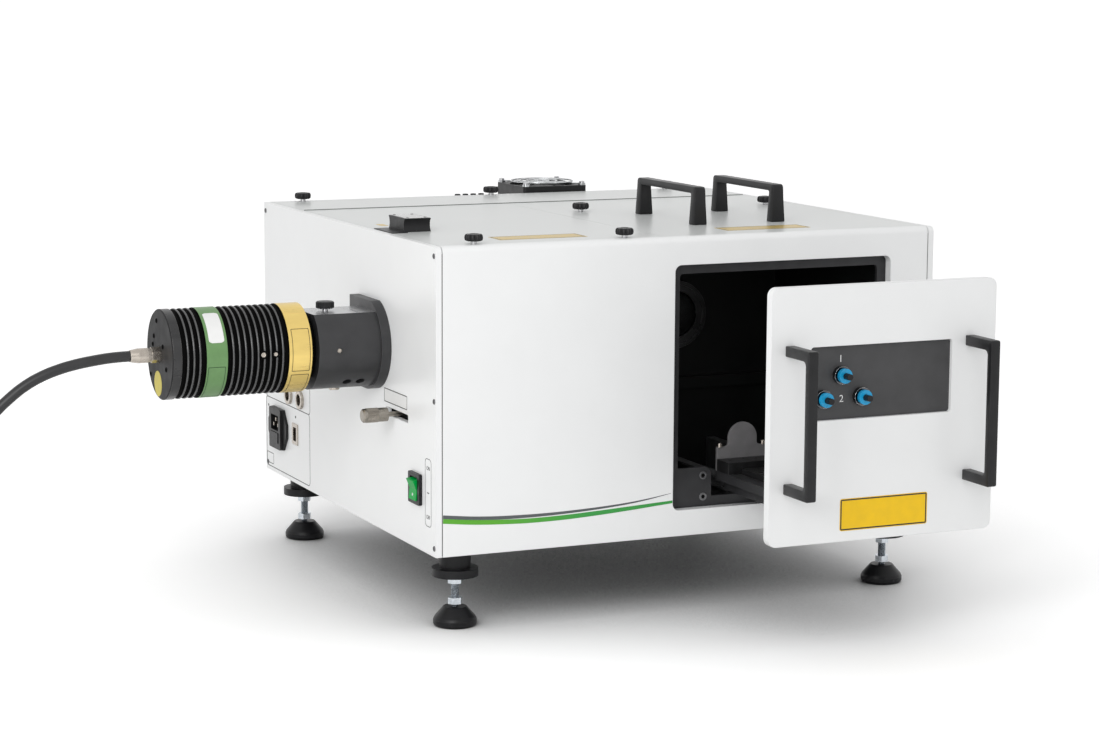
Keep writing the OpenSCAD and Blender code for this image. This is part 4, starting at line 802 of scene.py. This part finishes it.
# a dot in the middle of the rocker's lower face
low = [p for p in NODES["rocker"].data.polygons
       if p.normal.x < -0.6 and p.center.z < at(0, 0, 58).z]
spot = sum((p.center * p.area for p in low), Vector()) / sum(p.area for p in low)
lathe("rocker_mark", [(1.5, -0.1), (1.5, 0.1), (1.2, 0.16)], place(spot), low[0].normal, dot_white,
      "rocker", n=20)
socket_screw("mount_set_screw", (-53, LAMP_Y - 43 + 1.6, LAMP_Z), -Y, 2.4, "housing", nickel, 0.5,
             0.6)
for i, (dy, z) in enumerate(((0, 63), (-7, 57), (7, 57))):
    slab(f"inlet_pin_{i + 1}", rounded(2, 4, 0.5), (0.5, INLET_Y + dy, z), *LEFT, 5.2, nickel,
         "housing", bevel=0.3)
for i, (y, z) in enumerate([(172.6, 220), (152, 197), (186, 195.5), (195, 164.5), (141.5, 176),
                            (182, 204)]):
    socket_screw(f"lamp_end_screw_{i + 1}", (LAMP_END, y, z), -X, 2.4, "housing", shade_black, 0.6)
LAMP_FRONT = LAMP_Y - 44.2    # foremost line of the fins, where two set screws sit
for i, (x, r) in enumerate(((-132, 4.2), (-119.5, 3.4))):
    middle = (x, LAMP_FRONT, LAMP_Z + 0.5)
    # a near-black ring round each set screw: painted shade of its counterbore
    lathe(f"lamp_counterbore_{i + 1}", [(r, -1), (r, 0.5), (r * 0.7, 0.5), (r * 0.7, -1)], middle,
          -Y, shade_black, "housing")
    socket_screw(f"lamp_set_screw_{i + 1}", middle, -Y, r * 0.62, "housing", nickel, 0.3, 0.6)
for tag, side, x in (("left", -X, 0), ("right", X, 550)):
    for j, y in enumerate((4.6, 504)):
        for k, z in enumerate((8.3, 151.5, 291)):
            socket_screw(f"{tag}_plate_screw_{2 * k + j + 1}", (x, y, z), side, 2.7, "housing",
                         steel_dark, 0.7, 0.62)
FRAME_FACE = 10    # front of the inner frame
for j, x in enumerate((292.8, 460.8)):
    for k, z in enumerate((57.7, 35.9)):
        # sunk heads, since the shut door comes to 0.3 mm from the frame
        tag = f"frame_screw_{2 * j + k + 1}"
        lathe(tag, [(4.2, -0.3), (4.2, 0.04), (3.7, 0.2), (2.4, 0.2), (2.1, 0.05), (1.0, 0.04)],
              (x, FRAME_FACE, z), -Y, steel_dark, "housing", n=24)
        # a near-black hexagon in the head: painted shade of its socket
        lathe(tag + "_socket", [(2.1, -0.2), (2.1, 0.1), (1.0, 0.1)], (x, FRAME_FACE, z), -Y,
              shade_black, "housing", n=6)
BAFFLE_Y, BAFFLE_TOP = 16.5, 84    # the baffle plate's screws and its upper face
for j, x in enumerate((314.2, 363.5)):
    lathe(f"baffle_washer_{j + 1}", [(3.3, 0), (3.3, 0.5), (3.0, 0.7)], (x, BAFFLE_Y, BAFFLE_TOP),
          Z, nickel, "drawer")
    socket_screw(f"baffle_screw_{j + 1}", (x, BAFFLE_Y, BAFFLE_TOP + 0.7), Z, 2.3, "drawer",
                 nickel, 2.6)
lathe("mount_foot_screw", [(5.5, 0), (5.5, 1.6), (4.9, 2.2), (2.0, 2.2), (1.8, 0.6)],
      (-44, LAMP_Y, 145.2), -Z, nickel, "housing")


# --------------------------------------------- lens, grip, seals, terminals
lathe("collecting_lens", [(25.8, 0), (25.8, 3.2), (22, 4.4), (17, 5.4), (11, 6.1), (5, 6.45),
                          (0.4, 6.5)], (376.8, 247, LAMP_Z), -Y, glass, "housing", n=64)
GRIP_X, GRIP_TOP = 37.5, 313.5    # middle and upper face of the filter holder's grip
for j, (y0, y1) in enumerate(((141.5, 160.2), (160.8, 184.5))):
    slab(f"grip_top_{j + 1}", rounded(24.5, y1 - y0, 0.8), (GRIP_X, (y0 + y1) / 2, GRIP_TOP), *TOP,
         0.35, brushed, "filter_holder", bevel=0.12)
for j, (x, y) in enumerate(((28, 145), (47, 145), (28, 181), (47, 181))):
    socket_screw(f"grip_screw_{j + 1}", (x, y, GRIP_TOP + 0.35), Z, 1.5, "filter_holder",
                 steel_dark, 0.4)
# dark strips in the seams beside the lids and the front panel, and along the fixed cover: painted
# shade of the gaps there
for tag, x in (("left", 6.5), ("right", 543.5)):
    slab(f"{tag}_front_seam_shade", rounded(0.9, 292, 0.2), (x, 9, 147), *FRONT, 8.2, seam_shade, "housing")
    slab(f"{tag}_top_seam_shade", rounded(0.9, 500, 0.2), (x, 258, 296), *TOP, 3.4, seam_shade, "housing")
slab("cover_seam_shade", rounded(534, 0.7, 0.2), (275, 398, 298), *TOP, 2.7, grey_seam_shade, "housing")
# terminals behind the rear panel
slab("terminal_strip", rounded(40, 11, 1), (249.5, 515.8, 284), *TOP, 11, black_plastic,
     "housing", bevel=0.3)
for i in range(4):
    socket_screw(f"terminal_{i + 1}", (235 + 9.7 * i, 516, 295), Z, 3.4, "housing", black_plastic,
                 6)
# what the filter holder's grip rests on
slab("grip_seat", rounded(17, 52, 1), (15.7, 159, LID_TOP), *TOP, 0.8, black_plastic,
     "optics_lid", bevel=0.2)


# ------------------------------------------------------------ stage, light
def background_rays(t):
    """1 for a ray that shows the background: from the camera, or by way of a mirror or glass."""
    rays = t.nodes.new("ShaderNodeLightPath").outputs
    return op(t, "MAXIMUM", op(t, "MAXIMUM", rays["Is Camera Ray"], rays["Is Glossy Ray"]),
              rays["Is Transmission Ray"])


# the floor's colour as light sees it, its white for the camera, and how soft its painted shadow is
FLOOR_COLOUR, FLOOR_WHITE, FLOOR_SHADE = 0.9, 1.5, 0.66
floor_mat = bpy.data.materials.new("floor")
floor_mat.use_nodes = True
fb = floor_mat.node_tree.nodes["Principled BSDF"]
fb.inputs["Roughness"].default_value = 0.55
fb.inputs["Specular IOR Level"].default_value = 0.2
ft = floor_mat.node_tree
ray = background_rays(ft)
# the camera sees a white floor with a painted shadow, from ambient occlusion, that deepens towards
# what stands on it
near = ft.nodes.new("ShaderNodeAmbientOcclusion")
near.samples = 8
near.inputs["Distance"].default_value = 0.35
deep = op(ft, "MULTIPLY", op(ft, "POWER", near.outputs["AO"], FLOOR_SHADE), FLOOR_WHITE)
value = op(ft, "ADD", op(ft, "MULTIPLY", ray, deep),
           op(ft, "MULTIPLY", op(ft, "SUBTRACT", 1.0, ray), FLOOR_COLOUR))
ft.links.new(value, fb.inputs["Base Color"])
bm = bmesh.new()
bmesh.ops.create_grid(bm, x_segments=1, y_segments=1, size=60)
me = bpy.data.meshes.new("floor")
bm.to_mesh(me)
bm.free()
me.materials.append(floor_mat)
floor = bpy.data.objects.new("floor", me)
scene.collection.objects.link(floor)

SKY = 0.62    # strength of the world's light, which the camera sees as 1
world = bpy.data.worlds.new("studio")
world.use_nodes = True
wt = world.node_tree
wt.nodes["Background"].inputs["Color"].default_value = (1, 1, 1, 1)
wt.links.new(op(wt, "ADD", SKY, op(wt, "MULTIPLY", background_rays(wt), 1.0 - SKY)),
             wt.nodes["Background"].inputs["Strength"])
scene.world = world


def lamp(name, kind, energy, where, aim, size=1.0, angle=30):
    """A square soft box or a sun with soft edges, aimed at a point."""
    d = bpy.data.lights.new(name, kind)
    d.energy = energy
    if kind == "AREA":
        d.shape, d.size, d.size_y = "RECTANGLE", size, size
    else:
        d.angle = radians(angle)
    o = bpy.data.objects.new(name, d)
    o.location = where
    o.rotation_euler = (Vector(aim) - Vector(where)).to_track_quat("-Z", "Y").to_euler()
    scene.collection.objects.link(o)


lamp("key", "SUN", 0.53, (-1.8, -2.6, 2.4), (0.2, 0.2, 0.2), angle=50)
lamp("side_box", "AREA", 6.5, (-1.0, -0.95, 0.8), (0.0, 0.0, 0.2), size=0.7)

scene.view_settings.view_transform = "Standard"
